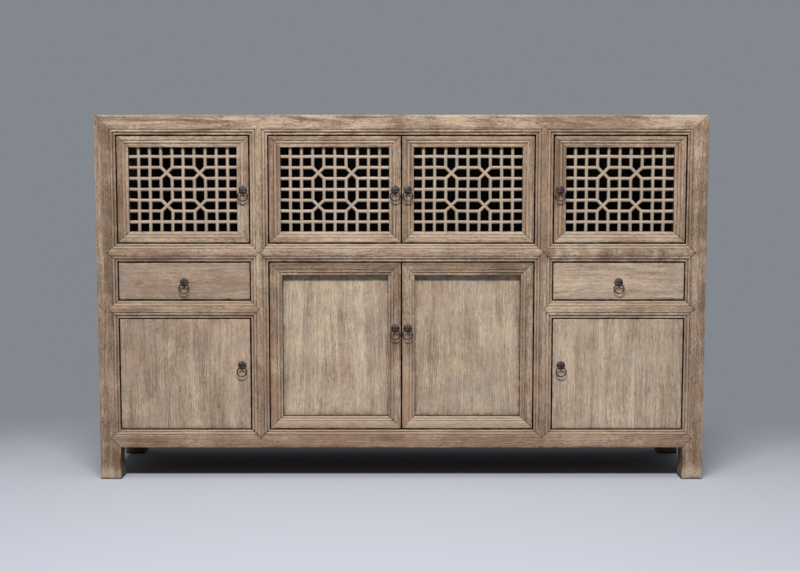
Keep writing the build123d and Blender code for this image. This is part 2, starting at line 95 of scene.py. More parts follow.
def smoothNoise(x, y, z, seed=0.0):
    # Random heights at whole-number corners, blended between them by 3t² - 2t³, from -1 to 1
    corner = [np.floor(axis) for axis in (x, y, z)]
    ease = [(axis - whole) ** 2 * (3 - 2 * (axis - whole)) for axis, whole in zip((x, y, z), corner)]
    total = 0.0
    for step in np.ndindex(2, 2, 2):
        share = math.prod(t if up else 1 - t for t, up in zip(ease, step))
        mixed = sum((whole + up) * stride for whole, up, stride in zip(corner, step, noise["strides"]))
        height = np.sin(mixed + seed * noise["seedStride"]) * noise["stretch"]
        total = total + share * (height - np.floor(height))
    return 2 * total - 1


def spread(low, high, pitch, extra=()):
    # Even steps from low to high, with extra places added and near doubles dropped
    count = max(2, int(round((high - low) / pitch)) + 1)
    places = np.concatenate([np.linspace(low, high, count), np.asarray(extra, float).ravel()])
    places = np.unique(np.round(places[(places >= low) & (places <= high)], 6))
    return places[np.concatenate([[True], np.diff(places) > 2e-5])]


# Meshes from grids of points

def gridShell(points, marks):
    # A closed skin over a grid: rows run along the piece and columns go round it.
    # Points in one place are merged, so seams and poles close, and the faces are turned outwards.
    rows, columns = points.shape[:2]
    row, column = np.meshgrid(np.arange(rows - 1), np.arange(columns), indexing="ij")
    after = (column + 1) % columns
    faces = np.stack([row * columns + column, row * columns + after,
                      (row + 1) * columns + after, (row + 1) * columns + column], -1).reshape(-1, 4)
    flat = points.reshape(-1, 3)
    _, first, merged = np.unique(np.round(flat, 6), axis=0, return_index=True, return_inverse=True)
    faces = merged.ravel()[faces]
    same = faces == np.roll(faces, -1, axis=1)
    crossed = (faces[:, 0] == faces[:, 2]) | (faces[:, 1] == faces[:, 3])
    quads = faces[(same.sum(1) == 0) & ~crossed]
    thin = faces[(same.sum(1) == 1) & ~crossed]
    keep = ~same[(same.sum(1) == 1) & ~crossed]
    triangles = thin[keep].reshape(-1, 3)
    co = flat[first]
    loops = [quads, triangles]
    volume = sum(np.einsum("ij,ij->", co[f[:, 0]], np.cross(co[f[:, i]], co[f[:, i + 1]]))
                 for f in loops for i in range(1, f.shape[1] - 1))
    if volume < 0:
        loops = [f[:, ::-1] for f in loops]
    picked = {name: values.reshape(-1, *values.shape[2:])[first] for name, values in marks.items()}
    return {"co": co, "faces": loops, "marks": picked}


def meshPiece(name, shells, material, body, nodes=(), sharp=38):
    # Joins shells into one mesh, with their marks as attributes, and puts it on its body
    counts = np.cumsum([0] + [len(shell["co"]) for shell in shells])
    faces = [shell["faces"][kind] + start for kind in (0, 1) for shell, start in zip(shells, counts)]
    totals = np.concatenate([np.full(len(f), f.shape[1]) for f in faces])
    corners = np.concatenate([f.ravel() for f in faces])
    mesh = bpy.data.meshes.new(name)
    mesh.vertices.add(counts[-1])
    mesh.vertices.foreach_set("co", np.concatenate([shell["co"] for shell in shells]).ravel())
    mesh.loops.add(len(corners))
    mesh.loops.foreach_set("vertex_index", corners.astype(np.int32))
    mesh.polygons.add(len(totals))
    mesh.polygons.foreach_set("loop_start", np.concatenate([[0], np.cumsum(totals)[:-1]]).astype(np.int32))
    mesh.update(calc_edges=True)
    mesh.validate()
    for mark in shells[0]["marks"]:
        values = np.concatenate([shell["marks"][mark] for shell in shells])
        kind, key = ("FLOAT_VECTOR", "vector") if values.ndim == 2 else ("FLOAT", "value")
        mesh.attributes.new(mark, kind, "POINT").data.foreach_set(key, values.ravel().astype(np.float32))
    mesh.shade_smooth()
    mesh.set_sharp_from_angle(angle=math.radians(sharp))
    mesh.materials.append(material)
    piece = bpy.data.objects.new(name, mesh)
    bpy.context.scene.collection.objects.link(piece)
    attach(piece, body)
    if nodes:
        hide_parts(*nodes)
    return piece


# Outlines of the timber, seen from its end

wearAndShade = {
    "hollow": 0.45 * mm,      # how deep the scrubbed faces dip between high places
    "hollowSize": 55 * mm,
    "chip": 1.5 * mm,         # deepest bruise of an arris
    "chipSize": 16 * mm,
    "seam": 0.4 * mm,         # rounding of an end where it meets its neighbour
    "seamDirt": 1.3 * mm,     # how far dirt spreads from a joint
    "besideJoint": 0.75,      # how dark it is there
    "footShadeRise": 3.5 * mm,     # how far the painted contact shadow, with some dirt, rises from the floor
    "footDark": 1.3,
    "legShadeReach": 1.2 * mm,      # how far painted shade spreads from a leg's inner side
    "legDark": 0.8,
    "gapShade": 1.1,          # painted shade on doors' edges and on the walls behind a moulding, which darkens the gaps
    "wallFade": 25 * mm,      # a wall's painted shade thins out over this depth
}


def plainEdge(radius, dirt=0.0):
    # A worn arris: three points of a quarter circle. dirt is how dark the wall behind it is painted, painted
    # shade in the gap round a door
    return {"u": np.array([0, 0.3, 1]) * radius, "v": np.array([1, 0.3, 0]) * radius,
            "plain": np.array([1, 0.3, 0]) * radius, "dirtAndShade": np.array([1, 0.85, 0.25]) * dirt,
            "rubAndLight": np.array([0.1, 0.6, 0.4]), "arris": np.array([1, 1, 0.5]), "dirt": dirt}


def mouldedEdge(strip, bead, groove, step, deep, sink=1.8 * mm, radius=1.4 * mm, soiledAndShaded=0.6, rubbedAndLit=1.0,
                shadeFilm=0.0):
    # From an opening inwards: a low strip, a groove, a bead that is half an ellipse,
    # u = start + bead/2 (1 - cos t) and v = sink (1 - sin t), a second groove and the flat face.
    # Its dirt share gives the dirt and painted shade in its hollows, its wear share the wear and painted
    # light on its high places, and a film of painted shade can lie all over it
    turn = np.linspace(0, math.pi, 7)
    beadStart = strip + groove
    width = beadStart + bead + groove
    beadU = beadStart + bead / 2 * (1 - np.cos(turn))
    beadV = sink * (1 - np.sin(turn))
    low = step + deep
    u = np.concatenate([[0, 0.3 * radius, radius, strip - 0.9 * mm, strip - 0.2 * mm, strip + 0.5 * mm,
                         beadStart - 0.4 * mm], beadU,
                        [beadStart + bead + 0.4 * mm, width - 0.5 * mm, width, width + 1.4 * mm]])
    v = np.concatenate([[step + radius, step + 0.3 * radius, step, step, step + 0.5 * mm, low, low],
                        beadV, [deep, deep, 0.4 * mm, 0]])
    plain = np.zeros(len(u))
    plain[:2] = radius, 0.3 * radius
    dirtAndShade = np.concatenate([[1, 0.7, 0.1, 0.05, 0.5, 1, 1], [0.7, 0.2, 0, 0, 0, 0.2, 0.6],
                           [0.85, 0.85, 0.35, 0]])
    dirtAndShade[2:-2] = np.maximum(dirtAndShade[2:-2] * soiledAndShaded, shadeFilm)
    rubAndLight = np.concatenate([[0, 0.5, 0.7, 0.5, 0, 0, 0], [0.1, 0.5, 0.9, 1, 0.9, 0.5, 0.1], [0, 0, 0.3, 0.1]])
    rubAndLight = np.clip(rubAndLight * rubbedAndLit, 0, 1)
    arris = np.concatenate([[0.8, 0.8, 0.3, 0, 0, 0, 0], [0, 0.1, 0.2, 0.3, 0.2, 0.1, 0], [0, 0, 0.2, 0.1]])
    # the wall behind the moulding gets painted shade
    return {"u": u, "v": v, "plain": plain, "dirtAndShade": dirtAndShade, "rubAndLight": rubAndLight, "arris": arris,
            "dirt": wearAndShade["gapShade"]}


def timberOutline(width, depth, lowEdge, highEdge, pitch=7 * mm, wallPitch=9 * mm, radius=1.2 * mm):
    # The front edges and the field between them, then the far wall, the back and the near wall
    split = joinery["shoulder"] + np.array([-0.05, 0.05]) * mm      # lines on both sides of a shoulder's foot
    sideSplit = width - split
    field = np.linspace(lowEdge["u"][-1], width - highEdge["u"][-1],
                        max(2, int((width - lowEdge["u"][-1] - highEdge["u"][-1]) / pitch) + 2))[1:-1]
    wallLow = max(lowEdge["v"][0], highEdge["v"][0]) + 1.5 * mm
    walls = spread(wallLow, depth - radius, wallPitch, split if depth > split[1] + radius else ())
    across = spread(radius, width - radius, 14 * mm, sideSplit if width > sideSplit[0] > radius else ())
    flat = np.zeros(len(field))
    u = np.concatenate([lowEdge["u"], field, width - highEdge["u"][::-1], np.full(len(walls), width),
                        across[::-1], np.zeros(len(walls))])
    v = np.concatenate([lowEdge["v"], flat, highEdge["v"][::-1], walls,
                        np.full(len(across), depth), walls[::-1]])
    rest = np.zeros(2 * len(walls) + len(across))
    plain = np.concatenate([lowEdge["plain"], flat, highEdge["plain"][::-1], v[-len(rest):]])
    marks = {key: np.concatenate([lowEdge[key], flat, highEdge[key][::-1], rest])
             for key in ("dirtAndShade", "rubAndLight", "arris")}
    # the walls round the timber get painted shade, darkest near the front
    wallShade = 0.75 + 0.25 * np.exp(-walls / wearAndShade["wallFade"])
    marks["dirtAndShade"][-len(rest):] = np.concatenate([highEdge["dirt"] * wallShade, 0 * across,
                                                 lowEdge["dirt"] * wallShade[::-1]])
    return {"u": u, "v": v, "plain": plain, "width": width, "depth": depth, **marks}


# How the wood grew: rings, heart, knots

ringShape = {
    "bend": 210 * mm, "bendAcross": 90 * mm,          # long waves of the rings
    "ripple": 50 * mm, "rippleAcross": 40 * mm, "rippleShare": 0.25,
    "knotStretch": 0.55, "parting": 0.85,             # a knot is longer than wide, and rings part round it
}


def growth(a, u, v, wood):
    # Distance from the pith gives the rings: a leaning pith makes cathedral arches.
    # Round a knot the rings part as water does round a post, u - knot = d (1 - r²/distance²)
    seed, wave = wood["seed"], wood["wave"]
    across, fine = ringShape["bendAcross"], ringShape["rippleAcross"]
    bent = u + wave * smoothNoise(a / ringShape["bend"] + seed, u / across, v / across, seed)
    ripple = smoothNoise(a / ringShape["ripple"], u / fine, v / fine, seed + 3)
    bent = bent + ringShape["rippleShare"] * wave * ripple
    dark = np.zeros_like(u)
    for along, across, radius in wood["knots"]:
        du, da = bent - across, (a - along) * ringShape["knotStretch"]
        distance = np.maximum(du ** 2 + da ** 2, radius ** 2)
        bent = across + du * (1 - ringShape["parting"] * radius ** 2 / distance)
        dark = np.maximum(dark, np.exp(-((u - across) ** 2 + da ** 2) / radius ** 2))
    pithU, pithV, lean = wood["pith"]
    fromMiddle = a - wood["middle"]
    ring = np.hypot(bent - pithU, v + pithV + lean * fromMiddle) + wood["slant"] * fromMiddle
    return ring, bent, dark


def board(seed, pith=(0.02, 0.12, 0.03), wave=5 * mm, slant=0.0, knots=(), tone=(0, 0, 0.5), middle=0.0,
          casts=()):
    # One piece of timber: tone is its lightness, its warmth and the strength of its figure.
    # casts are lighter or darker places: along, across, half length, half width, lightness and warmth
    return {"seed": seed, "pith": pith, "wave": wave, "slant": slant, "knots": knots, "tone": tone,
            "middle": middle, "casts": casts}


def toneOf(wood, a, u):
    # The board's own tone, with each cast added as amount·exp(-(distance/size)⁴)
    tone = np.zeros((*u.shape, 3)) + np.array(wood["tone"], float)
    for along, across, length, width, light, warm in wood["casts"]:
        share = np.exp(-(((a - along) / length) ** 2 + ((u - across) / width) ** 2) ** 2)
        tone[..., 0] += light * share
        tone[..., 1] += warm * share
    return tone


# A piece of timber

def placer(origin, along, across, inward):
    # origin + a·along + u·across + v·inward
    axes = [np.array(axis, float) for axis in (along, across, inward)]
    start = np.array(origin, float)
    return lambda a, u, v: start + a[..., None] * axes[0] + u[..., None] * axes[1] + v[..., None] * axes[2]


def notchCut(notch, a):
    # Depth of a V-shaped housing at a place along the timber: reach·(1 - |a - centre|/half)
    return notch["reach"] * np.clip(1 - np.abs(a - notch["centre"]) / notch["half"], 0, 1)


def notchStations(notches, shape):
    # Where the sloping sides of the housings cross the lines of the outline
    places = []
    for notch in notches:
        if notch["face"] == "side":
            line = shape["depth"] - shape["v"]
        else:
            line = shape["u"] if notch["low"] else shape["width"] - shape["u"]
        share = 1 - np.unique(np.round(line[(line > 0) & (line < notch["reach"])], 6)) / notch["reach"]
        share = np.concatenate([[0, 1], share])
        places += [notch["centre"] - notch["half"] * share, notch["centre"] + notch["half"] * share]
    return np.concatenate(places) if places else []


def timber(shape, low, high, place, start, end, wood, notches=(), zone=None, pitch=10 * mm,
           seam=wearAndShade["seam"], endDirt=0.75, plainBelow=None, bend=None, stainAndShade=None):
    # The outline is carried from low to high. start(u, v) and end(u, v) give the shape of the ends,
    # rings of the outline shrink to a point there, and worn faces sink by a noise of their place
    zone = zone or 60 * mm
    body = spread(low, high, pitch, notchStations(notches, shape))
    rounded = np.array([0, 0, 0, seam, 0.3 * seam])      # how far each end ring is drawn in
    shrunk = np.array([0, 0.35, 0.7, 1, 1])
    back = np.array([0, 0, 0, 0, 0.3 * seam])            # and how far it lies behind the end
    ends = len(rounded)
    draw = np.concatenate([rounded, np.zeros(len(body)), rounded[::-1]])[:, None]
    shrink = np.concatenate([shrunk, np.ones(len(body)), shrunk[::-1]])[:, None]
    u0, v0 = shape["u"], shape["v"]
    du, dv = np.roll(u0, -1) - np.roll(u0, 1), np.roll(v0, -1) - np.roll(v0, 1)
    size = np.hypot(du, dv) + 1e-9
    inU, inV = -dv / size, du / size
    middleU, middleV = shape["width"] / 2, shape["depth"] / 2
    station = np.concatenate([np.full(ends, low), body, np.full(ends, high)])[:, None]
    sideV = np.broadcast_to(v0, (len(station), len(v0)))
    moulded = np.ones_like(station)
    if plainBelow is not None:
        moulded = (station > plainBelow - 1e-6).astype(float)
        sideV = v0 * moulded + shape["plain"] * (1 - moulded)
    u = middleU + shrink * (u0 + inU * draw - middleU)
    v = middleV + shrink * (sideV + inV * draw - middleV)
    startAt, endAt = start(u, v) + 0 * u, end(u, v) + 0 * u
    fromStart = np.clip(1 - (station - low) / zone, 0, 1)
    fromEnd = np.clip(1 - (high - station) / zone, 0, 1)
    a = station + (startAt + seam - low) * fromStart + (endAt - seam - high) * fromEnd
    a[:ends] = startAt[:ends] + back[:, None]
    a[-ends:] = endAt[-ends:] - back[::-1, None]
    dirt = np.zeros_like(u)
    free = np.ones_like(u)
    for notch in notches:
        cut = notchCut(notch, a)
        inside = np.abs(a - notch["centre"]) < notch["half"] + 20 * mm
        onSide = notch["face"] == "side"
        if onSide:
            wall, guard = shape["depth"] - v, u > shape["width"] - joinery["shoulder"]
        else:
            wall, guard = u if notch["low"] else shape["width"] - u, v < joinery["shoulder"]
        reached = guard & (wall < cut)
        if onSide:
            v = np.where(reached, shape["depth"] - cut, v)
        else:
            u = np.where(reached, cut if notch["low"] else shape["width"] - cut, u)
        free = np.where(reached, 0, free)
        beside = wearAndShade["besideJoint"] * np.exp(-np.maximum(wall - cut, 0) * 0.7 / wearAndShade["seamDirt"])
        dirt = np.maximum(dirt, np.where(inside & guard & (cut > 0), beside, 0))
    if bend is not None:
        u, v = bend(a, u, v)
    at = place(a, u, v)
    x, y, z = np.moveaxis(at / wearAndShade["hollowSize"], -1, 0)
    fine = smoothNoise(3 * x, 3 * y, 3 * z, 6)
    sunk = wearAndShade["hollow"] * (0.5 + 0.35 * smoothNoise(x, y, z, 5) + 0.15 * fine)
    x, y, z = np.moveaxis(at / wearAndShade["chipSize"], -1, 0)
    chip = wearAndShade["chip"] * shape["arris"] * np.clip(smoothNoise(x, y, z, 8) - 0.15, 0, 1)
    sunk = (sunk + chip) * free * (shrink > 0.99)
    u, v = u + inU * sunk, v + inV * sunk
    at = place(a, u, v)
    nearEnd = np.minimum(a - startAt, endAt - a)
    dirt = np.maximum(dirt, endDirt * np.exp(-np.maximum(nearEnd, 0) / wearAndShade["seamDirt"]))
    ring, bent, knot = growth(a, u, v, wood)
    # this dark mark holds dirt at joints and ends, and painted shade in gaps, grooves, recesses and at the
    # feet
    dirtAndShade = np.maximum(dirt * 0.75, shape["dirtAndShade"] * moulded + 0 * u)
    if stainAndShade is not None:
        dirtAndShade = np.maximum(dirtAndShade, stainAndShade(a, u))
    seed = wood["seed"]
    marks = {
        "grain": np.stack([a + seed * 3.37, ring + seed * 0.713, bent + v + seed * 1.31], -1),
        "dirtAndShade": np.clip(dirtAndShade, 0, 1),
        "knot": knot,
        "rubAndLight": np.clip((shape["rubAndLight"] * moulded + 0 * u) * (1 - dirt), 0, 1),
        "tone": toneOf(wood, a, u),
    }
    return gridShell(at, marks)


def pointedEnd(at, reach, width, sign):
    # A shoulder that runs to a point on the middle of the face, square behind it
    half, shoulder = width / 2, joinery["shoulder"]
    return lambda u, v: at + sign * np.where(v < shoulder, reach * (1 - np.abs(u - half) / half), 0)


def squareEnd(at):
    return lambda u, v: at + 0 * u


def tones(seed, light=0.0, spreadBy=0.3, figure=0.5):
    # A little lightness and warmth of its own for each board
    pick = np.sin(np.array([seed * 12.9, seed * 78.2, seed * 37.7])) * 43758.5
    pick = 2 * (pick - np.floor(pick)) - 1
    return (light + spreadBy * pick[0], spreadBy * pick[1], figure + 0.25 * pick[2])


# Finishes

def fromHex(colour):
    # sRGB hex to linear light, with alpha
    parts = [int(colour[i:i + 2], 16) / 255 for i in (1, 3, 5)]
    return tuple(c / 12.92 if c <= 0.04045 else ((c + 0.055) / 1.055) ** 2.4 for c in parts) + (1.0,)


def clearNodes(owner):
    owner.use_nodes = True
    owner.node_tree.nodes.clear()
    return owner


def addNode(owner, kind, inputs=None, **settings):
    # One node of a material or a world with its settings. An input is a value, a socket,
    # or another node, which gives its first output
    node = owner.node_tree.nodes.new("ShaderNode" + kind)
    for key, value in settings.items():
        setattr(node, key, value)
    for key, value in (inputs or {}).items():
        if isinstance(value, bpy.types.Node):
            value = value.outputs[0]
        if isinstance(value, bpy.types.NodeSocket):
            owner.node_tree.links.new(value, node.inputs[key])
        else:
            node.inputs[key].default_value = value
    return node


def setStops(ramp, stops):
    # The stops of a colour ramp, as (place, colour)
    elements = ramp.color_ramp.elements
    while len(elements) < len(stops):
        elements.new(0.5)
    for element, (place, colour) in zip(elements, stops):
        element.position = place
        element.color = fromHex(colour)
    return ramp


bleachedElm = {
    "frame": {
        "hollow": "#6B5440", "body": "#937C68", "raised": "#BCA78F",
        "grey": "#8B8279", "pink": "#A27C64", "straw": "#AA8E6B",
        "streaks": 0.78, "bands": 0.56, "rings": 0.6, "patches": 0.46, "specks": 0.6, "pores": 0.6,
        "roughness": 0.8,
    },
    "boards": {
        "hollow": "#846F5D", "body": "#AD9983", "raised": "#CFBDA5",
        "grey": "#A0978D", "pink": "#B2917B", "straw": "#BCA57E",
        "streaks": 0.72, "bands": 0.36, "rings": 0.46, "patches": 0.3, "specks": 0.42, "pores": 0.6,
        "roughness": 0.8,
    },
    "bars": {
        "hollow": "#6A5C4D", "body": "#928070", "raised": "#C6B7A6",
        "grey": "#8F8A80", "pink": "#A98A6E", "straw": "#A89170",
        "streaks": 0.6, "bands": 0.3, "rings": 0.3, "patches": 0.3, "specks": 0.3, "pores": 0.4,
        "roughness": 0.8,
    },
    # the colour of dirt, into which the painted shade is mixed as well
    "dirt": "#2E2119", "knot": "#5A4A40",
}


elmPatterns = {
    # what each follows, its stretch along, across and into the wood, and the noise's scale, detail,
    # roughness and distortion
    "rings": ("grain", (2.6, 110, 6), 1.0, 4.0, 0.6, 0.4),        # 5 to 9 mm apart; elm's 2 to 4 is too fine
    "streaks": ("grain", (2.6, 72, 300), 1.0, 5.0, 0.72, 0.0),    # scrubbed, 3 to 7 by up to 300 mm
    "bands": ("grain", (3, 16, 30), 1.0, 2.0, 0.5, 0.0),          # 30 mm wide
    "pores": ("grain", (38, 300, 480), 1.0, 2.0, 0.6, 0.0),       # 2 by 25 mm, drawn five times too wide
    "specks": ("grain", (120, 240, 240), 1.0, 2.0, 0.7, 0.0),     # 4 by 8 mm
    "patches": ("place", (1, 1, 1), 13.0, 3.0, 0.6, 0.0),         # uneven bleach, 50 to 120 mm
    "comesAndGoes": ("place", (1, 1, 1), 42.0, 3.0, 0.6, 0.0),    # dirt that changes every 20 mm
}


def elmFinish(name, look):
    # Reclaimed elm, old lacquer scrubbed off and bleached: soft grey-brown streaks with open pores,
    # dark dirt and painted shade in grooves, gaps and joints, pale worn edges and painted light on up-facing
    # mouldings. Grain is read from each board's own marks
    m = clearNodes(bpy.data.materials.new(name))
    mark = {key: addNode(m, "Attribute", attribute_name=key).outputs
            for key in ("grain", "tone", "dirtAndShade", "knot", "rubAndLight")}
    follow = {"grain": mark["grain"]["Vector"], "place": addNode(m, "TexCoord").outputs["Object"]}
    light, warmth, strength = addNode(m, "SeparateXYZ", {0: mark["tone"]["Vector"]}).outputs
    pattern = {}
    for key, (source, stretch, scale, detail, roughness, warp) in elmPatterns.items():
        scaled = addNode(m, "VectorMath", {0: follow[source], 1: stretch}, operation="MULTIPLY")
        pattern[key] = addNode(m, "TexNoise", {"Vector": scaled, "Scale": scale, "Detail": detail,
                                               "Roughness": roughness, "Distortion": warp})
    patches = addNode(m, "SeparateColor", {0: pattern["patches"].outputs["Color"]}).outputs

    # the sum is about 0.5 on average: each pattern is centred and weighted
    value = addNode(m, "Math", {0: light, 1: 0.075, 2: 0.5}, operation="MULTIPLY_ADD")
    rings = addNode(m, "Math", {0: strength, 1: look["rings"]}, operation="MULTIPLY")
    for part, weight in ((pattern["rings"], rings), (pattern["streaks"], look["streaks"]),
                         (pattern["bands"], look["bands"]), (patches[0], look["patches"]),
                         (pattern["specks"], look["specks"]), (pattern["pores"], -0.4)):
        centred = addNode(m, "Math", {0: part, 1: 0.5}, operation="SUBTRACT")
        value = addNode(m, "Math", {0: centred, 1: weight, 2: value}, operation="MULTIPLY_ADD")
    colour = setStops(addNode(m, "ValToRGB", {0: value}),
                      [(0.3, look["hollow"]), (0.5, look["body"]), (0.7, look["raised"])])

    # over it lie casts, wear with painted light, pores, pits, knots, and dirt with painted shade: each is a
    # share, how it is mapped, and a colour
    wornAndLit = addNode(m, "Math", {0: pattern["streaks"], 1: mark["rubAndLight"]["Fac"]}, operation="MULTIPLY")
    heart = addNode(m, "Math", {0: mark["knot"]["Fac"], 1: pattern["comesAndGoes"]}, operation="MULTIPLY")
    smear = addNode(m, "MapRange", {0: pattern["comesAndGoes"], 1: 0.4, 2: 0.62, 3: 0.06, 4: 1.0})
    packed = addNode(m, "MapRange", {0: mark["dirtAndShade"]["Fac"], 1: 0.6, 2: 0.9, 3: 0.0, 4: 1.0})
    smear = addNode(m, "Math", {0: smear, 1: packed}, operation="MAXIMUM")
    smear = addNode(m, "Math", {0: mark["dirtAndShade"]["Fac"], 1: smear}, operation="MULTIPLY")
    shares = {}
    for key, part, span, tint in (("grey", patches[1], (0.5, 0.72, 0.4), look["grey"]),
                                  ("pink", patches[2], (0.5, 0.72, 0.38), look["pink"]),
                                  ("straw", patches[0], (0.55, 0.75, 0.4), look["straw"]),
                                  ("warm", warmth, (0.0, 1.0, 0.6), look["pink"]),
                                  ("wornAndLit", wornAndLit, (0.12, 0.6, 0.75), look["raised"]),
                                  ("open", pattern["pores"], (0.58, 0.72, look["pores"]), look["hollow"]),
                                  ("pits", pattern["specks"], (0.68, 0.78, 0.6), bleachedElm["dirt"]),
                                  ("heart", heart, None, bleachedElm["knot"]),
                                  ("smear", smear, None, bleachedElm["dirt"])):
        if span:
            part = addNode(m, "MapRange", {0: part, 1: span[0], 2: span[1], 3: 0.0, 4: span[2]})
        shares[key] = part
        colour = addNode(m, "Mix", {0: part, 6: colour, 7: fromHex(tint)}, data_type="RGBA").outputs[2]

    relief = addNode(m, "Math", {0: pattern["streaks"], 1: 1.4, 2: pattern["rings"]},
                     operation="MULTIPLY_ADD")
    relief = addNode(m, "Math", {0: shares["open"], 1: -1.0, 2: relief}, operation="MULTIPLY_ADD")
    bump = addNode(m, "Bump", {"Height": relief, "Strength": 0.5, "Distance": 0.8 * mm})
    surface = addNode(m, "BsdfPrincipled", {"Base Color": colour, "Roughness": look["roughness"],
                                            "Specular IOR Level": 0.3, "Normal": bump})
    addNode(m, "OutputMaterial", {"Surface": surface})
    return m


agedLooks = {
    # boards inside: dull near black-brown, painted shade for the dim inside of the cabinet, with dust and
    # faint grain along X, 17 mm wide
    "insideShade": {"stretch": (5, 60, 60), "scale": 1.0, "roughness": 0.5,
                   "stops": ((0.3, "#1A100B"), (0.7, "#3A281C")),
                   "patch": (9.0, 4.0, 0.65, 0.4, "#5A493A"), "bump": (0.3, 0.5 * mm),
                   "surface": {"Roughness": 0.6}},
    # inside the drawers: plain elm, handled and dusty, unbleached, its grain 10 mm apart
    "drawerElm": {"stretch": (90, 5, 110), "scale": 1.0, "roughness": 0.6,
                  "stops": ((0.3, "#5E4634"), (0.5, "#83684F"), (0.72, "#A1866A")), "bump": (0.3, 0.5 * mm),
                  "surface": {"Roughness": 0.75, "Specular IOR Level": 0.3}},
    # wrought iron, hammered and brown-black with age: dull 4 mm scale with rubbed brighter spots and rust
    "agedIron": {"stretch": (1, 1, 1), "scale": 260.0, "roughness": 0.6,
                 "stops": ((0.38, "#15110F"), (0.62, "#574D49")),
                 "patch": (90.0, 3.0, 0.5, 0.5, "#4B3122"), "bump": (0.7, 0.9 * mm), "dull": (0.62, 0.42),
                 "surface": {"Metallic": 0.65}},
}


def agedFinish(name):
    # Grain or scale through a ramp; patch is scale, detail, roughness, share and colour of dust or rust
    look = agedLooks[name]
    m = clearNodes(bpy.data.materials.new(name))
    place = addNode(m, "TexCoord").outputs["Object"]
    scaled = addNode(m, "VectorMath", {0: place, 1: look["stretch"]}, operation="MULTIPLY")
    grain = addNode(m, "TexNoise", {"Vector": scaled, "Scale": look["scale"], "Detail": 4.0,
                                    "Roughness": look["roughness"]})
    colour = setStops(addNode(m, "ValToRGB", {0: grain}), look["stops"])
    if "patch" in look:
        scale, detail, roughness, most, tint = look["patch"]
        patch = addNode(m, "TexNoise", {"Vector": place, "Scale": scale, "Detail": detail,
                                        "Roughness": roughness})
        share = addNode(m, "MapRange", {0: patch, 1: 0.5, 2: 0.75, 3: 0.0, 4: most})
        colour = addNode(m, "Mix", {0: share, 6: colour, 7: fromHex(tint)}, data_type="RGBA").outputs[2]
    strength, distance = look["bump"]
    bump = addNode(m, "Bump", {"Height": grain, "Strength": strength, "Distance": distance})
    surface = {"Base Color": colour, "Normal": bump, **look["surface"]}
    if "dull" in look:
        low, high = look["dull"]
        surface["Roughness"] = addNode(m, "MapRange", {0: grain, 1: 0.3, 2: 0.7, 3: low, 4: high})
    addNode(m, "OutputMaterial", {"Surface": addNode(m, "BsdfPrincipled", surface)})
    return m


frameElm = elmFinish("bleachedElmFrame", bleachedElm["frame"])
barElm = elmFinish("bleachedElmBars", bleachedElm["bars"])
boardElm = elmFinish("bleachedElmBoards", bleachedElm["boards"])
insideShade, drawerElm, agedIron = agedFinish("insideShade"), agedFinish("drawerElm"), agedFinish("agedIron")
print("finishes ready")


# Carcass: posts, dividers, rails and panels

alongX, alongY, alongZ = np.eye(3)      # directions of the room
moulding = {"strip": 6.5 * mm, "bead": 6.5 * mm, "groove": 2 * mm, "step": 2 * mm, "deep": 2 * mm}
flattened = {**moulding, "step": 1.2 * mm, "deep": 1.1 * mm, "sink": 0.9 * mm}    # worn down by use
openingHead = mouldedEdge(**moulding, soiledAndShaded=1.0, rubbedAndLit=0.3, shadeFilm=0.2)      # painted shade, with some dirt, where the moulding under a rail faces down
openingSill = mouldedEdge(**flattened, soiledAndShaded=0.1, rubbedAndLit=1.8)       # painted light, with some wear, where the moulding on top of a rail faces up
openingJamb = mouldedEdge(**moulding, soiledAndShaded=0.4, rubbedAndLit=0.65)
squareEdge = plainEdge(2.2 * mm)
carcass = {
    "legWaist": 3 * mm,       # the leg thins a little above its foot, on the inner side
    "stationPitch": 9 * mm,
    "mitreZone": 90 * mm,     # how far from its end a mitred timber's rings lean over
    "topThickness": 18 * mm,
    "tongue": 8 * mm,         # how far a panel reaches into its groove
    "sideSetback": 14 * mm,
    "sideThickness": 12 * mm,
}


def housing(low, high, reach, lowSide=True, face="front"):
    # A V-shaped housing for the point of a rail or a divider
    return {"face": face, "low": lowSide, "centre": (low + high) / 2, "half": (high - low) / 2,
            "reach": reach}


def legHollow(a):
    # Half a sine, squared, above the foot
    return carcass["legWaist"] * np.sin(np.clip(a / legHeight, 0, 1) * math.pi) ** 2


def legShape(a, u, v):
    # The inner side is hollowed, the outer side stays
    return u + legHollow(a) * np.clip(1 - u / postSize, 0, 1), v


def facing(atBack):
    # The face that a timber lies in, and the direction inwards from there
    return (backFace, -alongY) if atBack else (frontFace, alongY)


def dividerHousings(lowSide=True):
    return [housing(*sorted((side * dividerInner, side * dividerOuter)), dividerReach, lowSide)
            for side in (-1, 1)]


